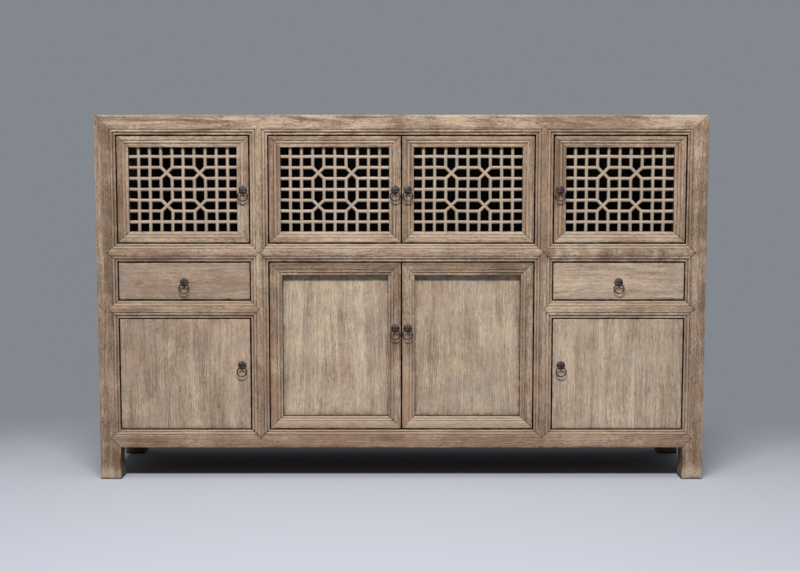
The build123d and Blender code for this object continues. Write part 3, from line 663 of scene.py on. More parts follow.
def cornerPost(side, atBack, seed):
    face, inward = facing(atBack)
    place = placer((side * postInner, face, 0), alongZ, side * alongX, inward)
    shape = timberOutline(postSize, postSize, squareEdge if atBack else openingJamb, squareEdge)
    rails = [(legHeight, floorLevel)]
    if not atBack:
        rails += [(drawerBase, runnerLevel), (middleBase, shelfLevel)]
    notches = [housing(low, high, cornerReach) for low, high in rails]
    notches += [housing(low, high, cornerReach, False, "side")
                for low, high in ((legHeight, floorLevel), (middleBase, shelfLevel))]
    rise = cabinetTop - topBase

    def mitre(u, v):
        return topBase + rise * np.clip(np.minimum(u / postSize, 1 - v / postSize), 0, 1)

    def footAndLegShade(a, u):
        # painted contact shadow, with some dirt, rises from the floor, and painted shade darkens the leg's
        # inner side
        fromInner = np.maximum(u - legHollow(a) - wearAndShade["legShadeReach"] / 2, 0)
        inner = wearAndShade["legDark"] * np.exp(-fromInner / wearAndShade["legShadeReach"]) * (a < legHeight)
        return np.maximum(wearAndShade["footDark"] * np.exp(-np.maximum(a, 0) / wearAndShade["footShadeRise"]), inner)

    casts = ((0.0, postSize / 2, 45 * mm, 90 * mm, 2.6, 0.0),
             (0.06, postSize / 2, 30 * mm, 90 * mm, -0.8, 0.2))
    # for the back legs, a darkening towards the floor: painted shade under the cabinet
    if atBack:
        casts = ((0.0, postSize / 2, legHeight, 90 * mm, -3.2, 0.2),)
    if side < 0 and not atBack:
        casts += ((0.36, postSize / 2, 0.26, 90 * mm, -1.0, 0.1),)
    wood = board(seed, pith=(0.01, 0.035 + 0.01 * seed, 0.02), wave=6 * mm, tone=tones(seed, -0.75),
                 middle=0.5, casts=casts)
    return timber(shape, 0, cabinetTop, place, squareEnd(0), mitre, wood, notches, zone=carcass["mitreZone"],
                  plainBelow=(legHeight + floorLevel) / 2, bend=legShape, seam=0.8 * mm, stainAndShade=footAndLegShade)


# paler and darker lengths of the two front dividers
dividerCasts = {-1: ((0.35, 26 * mm, 0.16, 0.1, -0.4, 0.1), (0.6, 26 * mm, 0.06, 0.1, 0.5, 0.0),
                     (0.88, 26 * mm, 0.2, 0.1, -0.7, 0.1)),
                1: ((0.87, 26 * mm, 0.2, 0.1, -1.1, 0.1), (0.3, 26 * mm, 0.2, 0.1, 0.8, 0.0))}


def dividerPost(side, atBack, seed):
    face, inward = facing(atBack)
    width = dividerOuter - dividerInner
    place = placer((side * dividerInner, face, 0), alongZ, side * alongX, inward)
    edge = squareEdge if atBack else openingJamb
    shape = timberOutline(width, joinery["railDepth"], edge, edge)
    notches = []
    if not atBack:
        notches = [housing(middleBase, shelfLevel, dividerReach, lowSide) for lowSide in (True, False)]
        notches.append(housing(drawerBase, runnerLevel, dividerReach, False))
    casts = dividerCasts[side] if not atBack else ()
    wood = board(seed, pith=(0.03, 0.06, 0.015), wave=5 * mm, tone=tones(seed, 0.0), middle=0.6, casts=casts)
    return timber(shape, floorLevel - dividerReach, topBase + dividerReach, place,
                  pointedEnd(floorLevel, dividerReach, width, -1),
                  pointedEnd(topBase, dividerReach, width, 1), wood, notches)


def frontRail(low, high, base, top, reachLow, reachHigh, lowEdge, highEdge, wood, notches=(), atBack=False):
    face, inward = facing(atBack)
    place = placer((0, face, base), alongX, alongZ, inward)
    shape = timberOutline(top - base, joinery["railDepth"], lowEdge, highEdge)
    return timber(shape, low - reachLow, high + reachHigh, place,
                  pointedEnd(low, reachLow, top - base, -1), pointedEnd(high, reachHigh, top - base, 1),
                  wood, notches, pitch=carcass["stationPitch"])


def topRail(atBack, seed):
    face, inward = facing(atBack)
    height = cabinetTop - topBase
    place = placer((0, face, topBase), alongX, alongZ, inward)
    shape = timberOutline(height, postSize, squareEdge if atBack else openingHead, squareEdge)

    def mitre(u, v):
        return postInner + postSize * np.clip(np.minimum(u / height, 1 - v / postSize), 0, 1)

    wood = board(seed, pith=(0.03, 0.05, 0.05), wave=9 * mm, tone=(0.8, 0.0, 1.7), middle=0.1,
                 knots=((-0.42, 0.035, 4 * mm), (0.53, 0.03, 5 * mm)),
                 casts=((0.7, 0.03, 0.22, 0.1, -0.9, 0.1), (-0.86, 0.03, 0.08, 0.1, -1.0, 0.0)))
    return timber(shape, -halfWidth, halfWidth, place, lambda u, v: -mitre(u, v), mitre, wood,
                  dividerHousings(), zone=carcass["mitreZone"], pitch=carcass["stationPitch"])


def sideTopRail(side, seed):
    height = cabinetTop - topBase
    place = placer((side * halfWidth, 0, topBase), alongY, alongZ, -side * alongX)
    shape = timberOutline(height, postSize, squareEdge, squareEdge)

    def inset(u, v):
        return postSize * (1 - np.clip(np.minimum(u / height, 1 - v / postSize), 0, 1))

    wood = board(seed, pith=(0.03, 0.08, 0.05), tone=tones(seed, 0.1))
    return timber(shape, frontFace, backFace, place, lambda u, v: frontFace + inset(u, v),
                  lambda u, v: backFace - inset(u, v), wood, zone=carcass["mitreZone"])


def sideRail(side, base, top, seed):
    place = placer((side * halfWidth, 0, base), alongY, alongZ, -side * alongX)
    shape = timberOutline(top - base, joinery["railDepth"], squareEdge, squareEdge)
    low, high = frontFace + postSize, backFace - postSize
    wood = board(seed, pith=(0.03, 0.07, 0.05), tone=tones(seed))
    return timber(shape, low - cornerReach, high + cornerReach, place,
                  pointedEnd(low, cornerReach, top - base, -1), pointedEnd(high, cornerReach, top - base, 1),
                  wood)


def dirtyShadedBorder(low, high, near, far, reach, most):
    # Darkening along the border of a held board, most·exp(-distance/reach): dirt, and on the door panels also
    # painted shade of their recess
    def stainAndShade(a, u):
        distance = np.minimum(np.minimum(a - low, high - a), np.minimum(u - near, far - u))
        return most * np.exp(-np.maximum(distance, 0) / reach)
    return stainAndShade


def heldBoard(place, low, high, width, depth, wood, tongue, pitch=9 * mm, most=0.55, headShadow=0.0):
    # A thin board whose edges run into grooves all round, with a painted shadow of the rail above on its top
    # 16 mm
    edge = plainEdge(0.8 * mm)
    shape = timberOutline(width, depth, edge, edge, pitch=6 * mm, radius=0.6 * mm)
    border = dirtyShadedBorder(low + tongue, high - tongue, tongue, width - tongue, 4.5 * mm, most)

    def stainAndShade(a, u):
        # painted shadow of the rail above, over the top 16 mm
        return np.maximum(border(a, u), headShadow * np.clip((a - (high - tongue - 16 * mm)) / (3 * mm), 0, 1))

    return timber(shape, low, high, place, squareEnd(low), squareEnd(high), wood, pitch=pitch, endDirt=0.2,
                  stainAndShade=stainAndShade)


railWoods = {
    "middle": (board(11.2, tone=(-0.4, 0.2, 0.6), wave=6 * mm, pith=(0.02, 0.05, 0.05), middle=-0.6),
               board(12.9, tone=(1.3, 0.05, 0.7), wave=7 * mm, pith=(0.03, 0.06, 0.04),
                     casts=((0.22, 0.03, 0.1, 0.1, -0.9, 0.1), (-0.3, 0.03, 0.06, 0.1, -0.7, 0.0))),
               board(13.6, tone=(-0.1, 0.0, 1.2), wave=3 * mm, pith=(0.03, 0.3, 0.0), slant=0.32,
                     middle=0.6)),
    "drawer": (board(15.1, tone=(0.2, 0.1, 0.6), pith=(0.03, 0.07, 0.05), middle=-0.6,
                     casts=((-0.6, 0.02, 0.07, 0.1, -0.9, 0.1),)),
               board(16.4, tone=(2.2, 0.1, 0.5), pith=(0.03, 0.07, 0.05), middle=0.6,
                     casts=((0.72, 0.02, 0.07, 0.1, -1.1, 0.1),))),
    "bottom": board(17.7, tone=(-0.9, 0.3, 0.6), wave=6 * mm, pith=(0.03, 0.06, 0.02),
                    casts=((-0.62, 0.02, 0.07, 0.1, 1.6, 0.0), (-0.25, 0.02, 0.1, 0.1, -1.0, 0.2),
                           (0.1, 0.02, 0.06, 0.1, 1.6, 0.0), (0.62, 0.02, 0.17, 0.1, 2.0, 0.0))),
    "backBottom": board(18.3, tone=(-0.2, 0.1, 0.5)),
}


def framePiece(name, shells, node):
    meshPiece(name, shells, frameElm, "carcass", [node])


def carcassPieces():
    for side, word in ((-1, "left"), (1, "right")):
        framePiece(f"postFront_{word}", [cornerPost(side, False, 1.3 + side * 0.9)], f"post_front_{word}")
        framePiece(f"postBack_{word}", [cornerPost(side, True, 3.1 + side * 0.7)], f"post_back_{word}")
        framePiece(f"dividerFront_{word}", [dividerPost(side, False, 5.2 + side * 0.8)],
                   f"divider_front_{word}")
    framePiece("dividersBack", [dividerPost(side, True, 7.3 + side) for side in (-1, 1)], "dividers_back")
    framePiece("topRailFront", [topRail(False, 2.7)], "top_rail_front")
    framePiece("topRailsSide", [sideTopRail(side, 9.4 + side) for side in (-1, 1)], "top_rails_side")
    bays = ((-postInner, -dividerOuter, cornerReach, dividerReach),
            (-dividerInner, dividerInner, dividerReach, dividerReach),
            (dividerOuter, postInner, dividerReach, cornerReach))
    for name, node, base, top, places, woods in (
            ("middleRails", "middle_rails_front", middleBase, shelfLevel, bays, railWoods["middle"]),
            ("drawerRails", "drawer_rails_front", drawerBase, runnerLevel, bays[::2],
             railWoods["drawer"])):
        rails = [frontRail(x0, x1, base, top, r0, r1, openingHead, openingSill, wood)
                 for (x0, x1, r0, r1), wood in zip(places, woods)]
        framePiece(name, rails, node)
    bottom, backBottom = [frontRail(-postInner, postInner, legHeight, floorLevel, cornerReach, cornerReach,
                                    squareEdge, edge, wood, dividerHousings(False), atBack)
                          for edge, wood, atBack in ((openingSill, railWoods["bottom"], False),
                                                     (squareEdge, railWoods["backBottom"], True))]
    framePiece("bottomRail", [bottom], "bottom_rail_front")
    framePiece("railsBack", [topRail(True, 19.2), backBottom], "rails_back")
    rails = [sideRail(side, base, top, 20 + side + base) for side in (-1, 1)
             for base, top in ((legHeight, floorLevel), (middleBase, shelfLevel))]
    framePiece("sideRails", rails, "side_rails")


def carcassPanels():
    tongue = carcass["tongue"]
    low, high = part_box("top_panel")
    place = placer((0, low.y + tongue, cabinetTop), alongX, alongY, -alongZ)
    width = high.y - low.y - 2 * tongue
    shape = timberOutline(width, carcass["topThickness"], plainEdge(1 * mm), plainEdge(1 * mm), pitch=6 * mm)
    wood = board(23.1, pith=(0.15, 0.09, 0.06), wave=12 * mm, tone=(0.0, 0.0, 0.8),
                 knots=((-0.33, 0.09, 9 * mm), (0.48, 0.2, 7 * mm)))
    stainAndShade = dirtyShadedBorder(-postInner, postInner, 0, width, 4 * mm, 0.6)
    top = timber(shape, -postInner, postInner, place, squareEnd(-postInner), squareEnd(postInner), wood,
                 stainAndShade=stainAndShade, seam=0.8 * mm)
    meshPiece("topPanel", [top], boardElm, "carcass", ["top_panel"])
    panels = []
    low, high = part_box("side_panels")
    for side in (-1, 1):
        outside = side * (halfWidth - carcass["sideSetback"])
        place = placer((outside, low.y, 0), alongZ, alongY, -side * alongX)
        for base, head in ((floorLevel, middleBase), (shelfLevel, topBase)):
            wood = board(24.5 + side + base, pith=(0.12, 0.08, 0.05), wave=9 * mm, middle=base + 0.2,
                         tone=tones(24 + side + base, -0.1, figure=0.7))
            panels.append(heldBoard(place, base - tongue, head + tongue, high.y - low.y,
                                    carcass["sideThickness"], wood, tongue))
    meshPiece("sidePanels", panels, boardElm, "carcass", ["side_panels"])


def refinish(node, material):
    # A CAD node keeps its mesh and gets a material
    frame["nodes"][node].data.materials.clear()
    frame["nodes"][node].data.materials.append(material)


carcassPieces()
carcassPanels()
for name in ("back_panels", "partitions", "shelf_boards", "floor_boards", "drawer_runners", "door_stops"):
    refinish(name, insideShade)
print("carcass ready")


# Doors and drawers

doors = {
    "lattice": {"stile": 35 * mm, "rail": 33 * mm, "strip": 10 * mm, "bead": 7 * mm,
                "lights": (-1.9, -0.6, 0.8, -0.4), "casts": {}},    # stiles, rail below and rail above
    "panel": {"stile": 38 * mm, "rail": 38 * mm, "strip": 7 * mm, "bead": 6 * mm,
              "lights": (-0.6, -0.8, 4.3, -1.9),
              "casts": {0: ((floorLevel + 0.05, 0.02, 0.1, 0.1, 0.2, 1.0),),
                        2: ((0.3, 8 * mm, 0.3, 10 * mm, -1.8, 0.5), (-0.3, 8 * mm, 0.3, 10 * mm, -1.8, 0.5))},
              # the panel's border gets dirt with painted shade of its recess, and its top a painted shadow of
              # the rail above
              "setback": 14.5 * mm, "thickness": 8 * mm, "tongue": 8 * mm, "borderDirtAndShade": 0.85, "headShadow": 0.5},
    "plank": {"thickness": 22 * mm, "joints": (0.36, 0.69), "arris": 1.8 * mm, "jointArris": 0.7 * mm,
              "lights": {"left": -1.3, "right": 0.0},
              "border": (7 * mm, 0.42),     # reach and strength of the dirt along it
              "batten": 48 * mm, "battenThickness": 12 * mm, "battenInset": 45 * mm},
    "drawer": {"thickness": 20 * mm, "arris": 2.2 * mm, "lights": {"left": -2.2, "right": -0.3},
               "warmth": 0.22, "border": (5 * mm, 0.45)},
    "pin": 4.5 * mm, "pinReach": 12 * mm, "pinGap": 0.1 * mm,
    "arris": 1.5 * mm,
    # of each member of a frame: its dirt with painted shade, its wear with painted light, and the depth of
    # its moulding; the rail above is painted darker and the rail below paler, as the light falls from above
    "mouldings": ((0.4, 0.7, 1.3 * mm), (0.4, 0.7, 1.3 * mm), (0.08, 2.0, 1.2 * mm), (0.8, 0.5, 1.9 * mm)),
}
# knots in the boards: along, across and radius
knots = {
    "panel_door_left": ((0.56, 0.14, 4 * mm),),
    "panel_door_right": ((0.5, 0.12, 4 * mm), (0.27, 0.2, 5 * mm)),
    "plank_door_left": ((0.255, 0.09, 5 * mm), (0.225, 0.29, 7 * mm), (0.45, 0.11, 5 * mm)),
    "plank_door_right": ((0.27, 0.1, 6 * mm), (0.4, 0.28, 4 * mm)),
    "drawer_left": ((-0.78, 0.05, 9 * mm),),
    "drawer_right": (),
}
doorFace = frontFace + joinery["doorRecess"]


def leafArea(node, low, high):
    # A door's place: its width from the frame, its height from the opening less the gaps
    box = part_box(node)
    return box[0].x, box[1].x, low + joinery["doorGap"], high - joinery["doorGap"]


def pivotPins(leaf, hinge, seed):
    # Turned pins at the hinge edge, above and below
    x0, x1, z0, z1 = leaf
    gap, deep = joinery["doorGap"] - joinery["swingClearance"], joinery["pivotDepth"]
    inset = (deep ** 2 - gap ** 2) / (2 * gap) + joinery["pivotMargin"]
    x = x0 + inset if hinge < 0 else x1 - inset
    turn = np.linspace(0, 2 * math.pi, 13)[:-1]
    radius = doors["pin"]
    shape = {"u": radius + radius * np.cos(turn), "v": radius + radius * np.sin(turn),
             "width": 2 * radius, "depth": 2 * radius,
             "plain": 0 * turn, "dirtAndShade": 0.3 + 0 * turn, "rubAndLight": 0 * turn, "arris": 0 * turn}
    place = placer((x - radius, doorFace + deep - radius, 0), alongZ, alongX, alongY)
    wood = board(seed)
    reach, apart = doors["pinReach"], doors["pinGap"]
    return [timber(shape, low, high, place, squareEnd(low), squareEnd(high), wood, zone=4 * mm)
            for low, high in ((z0 - reach, z0 - apart), (z1 + apart, z1 + reach))]


def mitredFrame(leaf, kind, seed, light):
    # Two stiles and two rails; the mitres run from the outer to the inner corners
    x0, x1, z0, z1 = leaf
    look = doors[kind]
    inner = [mouldedEdge(look["strip"], look["bead"], 2 * mm, 0, deep, sink=0.85 * deep, radius=1 * mm,
                         soiledAndShaded=soiledAndShaded, rubbedAndLit=rubbedAndLit)
             for soiledAndShaded, rubbedAndLit, deep in doors["mouldings"]]
    shells = []
    members = ((x0, alongZ, alongX, z0, z1, "stile", "rail"), (x1, alongZ, -alongX, z0, z1, "stile", "rail"),
               (z0, alongX, alongZ, x0, x1, "rail", "stile"), (z1, alongX, -alongZ, x0, x1, "rail", "stile"))
    for number, (edge, along, across, low, high, own, other) in enumerate(members):
        width, slope = look[own], look[other] / look[own]
        shape = timberOutline(width, joinery["doorThickness"], plainEdge(doors["arris"], wearAndShade["gapShade"]),
                              inner[number], pitch=4.5 * mm)
        origin = np.array((0, doorFace, 0)) + edge * np.abs(across)
        place = placer(origin, along, across, alongY)
        memberSeed = seed + 0.37 * number
        wood = board(memberSeed, pith=(0.02, 0.05, 0.03), wave=3 * mm, middle=(low + high) / 2,
                     tone=tones(memberSeed, light + look["lights"][number], 0.3, 0.6),
                     casts=look["casts"].get(number, ()))
        shells.append(timber(shape, low, high, place,
                             lambda u, v, low=low, slope=slope: low + u * slope,
                             lambda u, v, high=high, slope=slope: high - u * slope,
                             wood, zone=60 * mm, pitch=8 * mm))
    return shells


def innerArea(leaf, kind):
    x0, x1, z0, z1 = leaf
    look = doors[kind]
    return x0 + look["stile"], x1 - look["stile"], z0 + look["rail"], z1 - look["rail"]


lattice = {
    "columns": 10, "rows": 8,
    "crossedColumns": (4, 7), "crossedRows": (3, 6),
    "bar": 9.5 * mm,
    "thickness": 12 * mm,
    "setback": 6.5 * mm,
    "round": 3.4 * mm,        # height of the rounded front of a bar
    "sway": 0.7 * mm,         # how far hand-made bars stray
    "swayLong": 60 * mm, "swayShort": 50 * mm,
    "sink": 0.5 * mm,         # and how far their worn fronts sink
    "sinkSize": 30 * mm,
    "warmReach": 6 * mm,      # bars are browner round their crossings
    "shadeFrom": 0.9 * mm, "shadeDepth": 3.5 * mm,      # and painted shade darkens their sides, more further in
}


def latticeLines(low, high, cells):
    # Middles of the bars between equal clear cells; the first and last lie inside the frame
    bar = lattice["bar"]
    clear = (high - low - (cells - 1) * bar) / cells
    middles = low + np.arange(1, cells) * (clear + bar) - bar / 2
    return np.concatenate([[low - 3 * mm], middles, [high + 3 * mm]])


def latticeArms(area):
    # Every bar is cut where bars meet. An arm ends at a·|u| from the meeting point: a is 1 at a square
    # crossing, tan 22.5° on the side where a slanting bar leaves, and 0 inside the door's frame.
    # An arm is its start, its end, and the slopes at each end for u < 0 and u > 0
    x0, x1, z0, z1 = area
    count = {"x": lattice["columns"], "z": lattice["rows"]}
    crossed = {"x": lattice["crossedColumns"], "z": lattice["crossedRows"]}
    at = {"x": latticeLines(x0, x1, count["x"]), "z": latticeLines(z0, z1, count["z"])}
    broken = {axis: [line for cell in cells for line in (cell - 1, cell)] for axis, cells in crossed.items()}
    lean = math.tan(math.pi / 8)
    arms = []
    for own, other in (("z", "x"), ("x", "z")):         # crossbars, then uprights
        for line in range(1, count[own]):
            for cell in range(1, count[other] + 1):
                if line in broken[own] and cell in crossed[other]:
                    continue
                ends, slopes = [], []
                for end in (cell - 1, cell):
                    place = (at[other][end], at[own][line])
                    ends.append(place if own == "z" else place[::-1])
                    if end in (0, count[other]):
                        slopes.append((0, 0))
                    elif line in broken[own] and end in broken[other]:
                        after = line + 1 in crossed[own]        # the crossed cell lies after the line
                        slopes.append((1, lean) if after == (own == "z") else (lean, 1))
                    else:
                        slopes.append((1, 1))
                arms.append((*ends, *slopes))
    for column in crossed["x"]:
        for row in crossed["z"]:
            xs, zs = at["x"][column - 1:column + 1], at["z"][row - 1:row + 1]
            middle = (xs.sum() / 2, zs.sum() / 2)
            arms += [((x, z), middle, (lean, lean), (1, 1)) for x in xs for z in zs]
    return arms


def latticePiece(area, seed):
    # One outline for all arms: a rounded front, v = round (1 - sqrt(1 - (u/half)²)), straight sides
    # and a flat back
    half, depth = lattice["bar"] / 2, lattice["thickness"]
    turn = np.linspace(-1, 1, 9) * math.pi / 2
    u = np.concatenate([half * np.sin(turn), [half, half - 0.5 * mm, -half + 0.5 * mm, -half]])
    v = np.concatenate([lattice["round"] * (1 - np.cos(turn)),
                        [depth - 0.5 * mm, depth, depth, depth - 0.5 * mm]])
    arms = latticeArms(area)
    start, end = [np.array([arm[i] for arm in arms]) for i in (0, 1)]
    length = np.hypot(*(end - start).T)
    runX, runZ = [((end - start) / length[:, None])[:, i, None, None] for i in (0, 1)]
    startX, startZ = start[:, 0, None, None], start[:, 1, None, None]
    length = length[:, None, None]
    slopes = np.array([[*arm[2], *arm[3]] for arm in arms])[:, :, None, None]
    rows = np.array([0, 0, 0.34, 0.67, 1, 1])[None, :, None]
    shrink = np.array([0, 1, 1, 1, 1, 0])[None, :, None]
    pointU = shrink * u[None, None, :] + 0 * length
    pointV = depth / 2 + shrink * (v[None, None, :] - depth / 2) + 0 * pointU
    first = np.where(pointU < 0, slopes[:, 0], slopes[:, 1]) * np.abs(pointU)
    last = length - np.where(pointU < 0, slopes[:, 2], slopes[:, 3]) * np.abs(pointU)
    a = first + (last - first) * rows
    x = startX + a * runX - pointU * runZ              # u lies to the left of the arm's run
    z = startZ + a * runZ + pointU * runX
    swayX = lattice["sway"] * smoothNoise(x / lattice["swayLong"], 0 * x, z / lattice["swayShort"], seed)
    swayZ = lattice["sway"] * smoothNoise(x / lattice["swayShort"], 0 * x, z / lattice["swayLong"], seed + 7)
    sunk = 1 + smoothNoise(x / lattice["sinkSize"], 0 * x, z / lattice["sinkSize"], seed + 4)
    sink = lattice["sink"] * sunk * (pointV < depth / 2)
    points = np.stack([x + swayX, doorFace + lattice["setback"] + pointV + sink, z + swayZ], -1)
    lineSeed = seed * 5 + np.round(startX * runZ * 977 + startZ * runX * 631, 2) + 0 * a
    crown = np.clip(1 - pointV / lattice["round"], 0, 1)
    fromNode = np.minimum(a, length - a)
    warmth = 0.15 + 0.15 * np.sin(lineSeed * 1.7) + 0.8 * np.exp(-(fromNode / lattice["warmReach"]) ** 2)
    # crossbars are painted paler than uprights: painted light on their tops, which catch the light from above
    tone = np.stack([0.5 * np.sin(lineSeed * 3.1) + 0.9 * np.abs(runX) - 1.4, warmth, 0.3 + 0 * a], -1)
    marks = {
        "grain": np.stack([a + startX + startZ + lineSeed, pointU + lineSeed, pointV + pointU], -1),
        # painted shade on the bars' sides, darker further back
        "dirtAndShade": np.clip(0.9 * (pointV - lattice["shadeFrom"]) / lattice["shadeDepth"], 0, 0.85),
        "knot": 0 * a,
        "rubAndLight": 0.75 * crown,
        "tone": tone,
    }
    return [gridShell(points[i], {key: values[i] for key, values in marks.items()}) for i in range(len(arms))]


def latticeDoor(side, place, low, high, seed):
    name = f"lattice_door_{place}_{side}"
    leaf = leafArea(f"{name}_frame", low, high)
    hinge = -1 if side == "left" else 1
    shells = mitredFrame(leaf, "lattice", seed, 0.15) + pivotPins(leaf, hinge, seed)
    meshPiece(f"{name}_frameWood", shells, frameElm, name, [f"{name}_frame"])
    meshPiece(f"{name}_bars", latticePiece(innerArea(leaf, "lattice"), seed), barElm, name,
              [f"{name}_lattice"], sharp=50)


def panelDoor(side, seed):
    name = f"panel_door_{side}"
    leaf = leafArea(f"{name}_frame", floorLevel, middleBase)
    hinge = -1 if side == "left" else 1
    shells = mitredFrame(leaf, "panel", seed, -0.05) + pivotPins(leaf, hinge, seed)
    meshPiece(f"{name}_frameWood", shells, frameElm, name, [f"{name}_frame"])
    look = doors["panel"]
    x0, x1, z0, z1 = innerArea(leaf, "panel")
    tongue = look["tongue"]
    place = placer((x0 - tongue, doorFace + look["setback"], 0), alongZ, alongX, alongY)
    wood = board(seed + 0.5, pith=(0.17, 0.13, 0.07), wave=8 * mm, knots=knots[name], middle=(z0 + z1) / 2,
                 tone=tones(seed, -0.1, 0.15, 0.55))
    panel = heldBoard(place, z0 - tongue, z1 + tongue, x1 - x0 + 2 * tongue, look["thickness"], wood, tongue,
                      pitch=7 * mm, most=look["borderDirtAndShade"], headShadow=look["headShadow"])
    meshPiece(f"{name}_board", [panel], boardElm, name, [f"{name}_panel"])


def plankDoor(side, seed):
    name = f"plank_door_{side}"
    leaf = leafArea(name, floorLevel, drawerBase)
    look = doors["plank"]
    x0, x1, z0, z1 = leaf
    mirror = -1 if side == "right" else 1
    cuts = [0, *look["joints"], 1]
    shells = pivotPins(leaf, -mirror, seed)
    width = x1 - x0
    for number, (near, far) in enumerate(zip(cuts, cuts[1:])):
        plank, inset = (far - near) * width, near * width
        origin = (x0 + inset if mirror > 0 else x1 - inset, doorFace, 0)
        place = placer(origin, alongZ, mirror * alongX, alongY)
        outer, joint = plainEdge(look["arris"], wearAndShade["gapShade"]), plainEdge(look["jointArris"])
        shape = timberOutline(plank, look["thickness"], joint if number else outer,
                              outer if far == 1 else joint, pitch=6 * mm)
        plankSeed = seed + 0.41 * number
        wood = board(plankSeed, pith=(plank * (0.3 + 0.2 * number), 0.07, 0.06), wave=7 * mm,
                     knots=[(a, u - inset, radius) for a, u, radius in knots[name]], middle=(z0 + z1) / 2,
                     tone=tones(plankSeed, look["lights"][side], 0.2, 0.7))
        stainAndShade = dirtyShadedBorder(z0, z1, -inset, width - inset, *look["border"])
        shells.append(timber(shape, z0, z1, place, squareEnd(z0), squareEnd(z1), wood, seam=1.4 * mm,
                             pitch=7 * mm, endDirt=0.0, stainAndShade=stainAndShade, zone=20 * mm))
    for base in (z0 + look["battenInset"], z1 - look["battenInset"] - look["batten"]):
        back = doorFace + look["thickness"] + look["battenThickness"]
        place = placer((0, back, base), alongX, alongZ, -alongY)
        arris = plainEdge(doors["arris"])
        shape = timberOutline(look["batten"], look["battenThickness"], arris, arris)
        low, high = x0 + look["battenInset"], x1 - look["battenInset"]
        shells.append(timber(shape, low, high, place, squareEnd(low), squareEnd(high), board(seed + 3 + base),
                             seam=1.2 * mm, zone=20 * mm))
    meshPiece(f"{name}_planks", shells, boardElm, name, [name])


def drawerFront(side, seed):
    name = f"drawer_{side}"
    x0, x1, z0, z1 = leafArea(f"{name}_front", runnerLevel, middleBase)
    place = placer((0, doorFace, z0), alongX, alongZ, alongY)
    look = doors["drawer"]
    edge = plainEdge(look["arris"], wearAndShade["gapShade"])
    shape = timberOutline(z1 - z0, look["thickness"], edge, edge, pitch=5 * mm)
    light, _, figure = tones(seed, look["lights"][side], 0.1, 0.8)
    wood = board(seed, pith=(0.05, 0.06, 0.07), wave=9 * mm, middle=-0.6 if side == "left" else 0.6,
                 knots=knots[name], tone=(light, look["warmth"], figure))
    stainAndShade = dirtyShadedBorder(x0, x1, 0, z1 - z0, *look["border"])
    front = timber(shape, x0, x1, place, squareEnd(x0), squareEnd(x1), wood, seam=2 * mm, pitch=6 * mm,
                   endDirt=0.0, stainAndShade=stainAndShade, zone=20 * mm)
    meshPiece(f"{name}_face", [front], boardElm, name, [f"{name}_front"])
    refinish(f"{name}_box", drawerElm)


sides = ("left", "right")
for number, side in enumerate(sides):
    latticeDoor(side, "side", shelfLevel, topBase, 31 + number)
    latticeDoor(side, "middle", shelfLevel, topBase, 34 + number)
    panelDoor(side, 38 + number)
for number, side in enumerate(sides):
    plankDoor(side, 44 + 3 * number)
for number, side in enumerate(sides):
    drawerFront(side, 51 + 2 * number)
print("doors and drawers ready")


# Ring pulls

pull = {
    "plate": 13 * mm, "rim": 1 * mm, "dome": 3.6 * mm, "petals": 8, "petalCut": 0.07,
    "pinch": 1.1 * mm,        # how far the plate is pressed in between its petals
    "eyeDrop": 3.8 * mm, "eyeOut": 10 * mm, "eye": 3.6 * mm, "eyeWire": 1.2 * mm,
    "shank": 1.6 * mm, "leg": 9 * mm, "ring": 14.25 * mm, "ringWire": 2 * mm,
}


def metalShell(points):
    return gridShell(points, {"dirtAndShade": np.zeros(points.shape[:2])})


def plate(x, z, seed):
    # Polar grid: r = R·s·(1 - cut·(1 - |cos(petals·t/2)|)), height = rim + dome·(1 - s²), which is
    # pinched between the petals
    t = np.linspace(0, 2 * math.pi, 65)[:-1][None, :]
    s = np.array([0, 0, 0.5, 0.9, 1, 1, 0.97, 0.85, 0.7, 0.55, 0.4, 0.25, 0.12, 0])[:, None]
    petal = np.abs(np.cos(pull["petals"] * t / 2))
    r = pull["plate"] * s * (1 - pull["petalCut"] * (1 - petal) * (s > 0.3))
    lift = np.array([0, 0, 0, 0, 0.1, 0.75, 1, 1, 1, 1, 1, 1, 1, 1])[:, None]
    dome = pull["dome"] * (1 - s ** 2) - pull["pinch"] * (1 - petal) * s
    height = lift * pull["rim"] + (lift > 0.9) * dome
    height = height + 0 * t
    r = r + 0 * t
    tilt = 0.15 * mm * np.sin(t + seed) * (lift > 0.9)
    y = doorFace - np.maximum(height + tilt * s, 0)
    return metalShell(np.stack([x + r * np.cos(t), y, z + r * np.sin(t)], -1))


def wireRing(centre, first, second, major, minor, seed=0.0, lumps=0.0):
    # Torus, centre + (major + minor cos p)(first cos t + second sin t) + minor sin p · normal, a little
    # out of round. The last row meets the first, so the tube closes on itself
    t = np.linspace(0, 2 * math.pi, 49)[:-1][:, None]
    p = np.linspace(0, 2 * math.pi, 13)[:-1][None, :]
    normal = np.cross(first, second)
    radius = major * (1 + lumps * np.sin(2 * t + seed) + 0.6 * lumps * np.sin(3 * t + 2 * seed))
    wire = minor * (1 - 0.5 * lumps + 2 * lumps * np.sin(5 * t + seed))
    ringU, ringV = (radius + wire * np.cos(p)) * np.cos(t), (radius + wire * np.cos(p)) * np.sin(t)
    at = (np.array(centre) + ringU[..., None] * first + ringV[..., None] * second
          + (wire * np.sin(p) + 0 * t)[..., None] * normal)
    return metalShell(np.concatenate([at, at[:1]]))


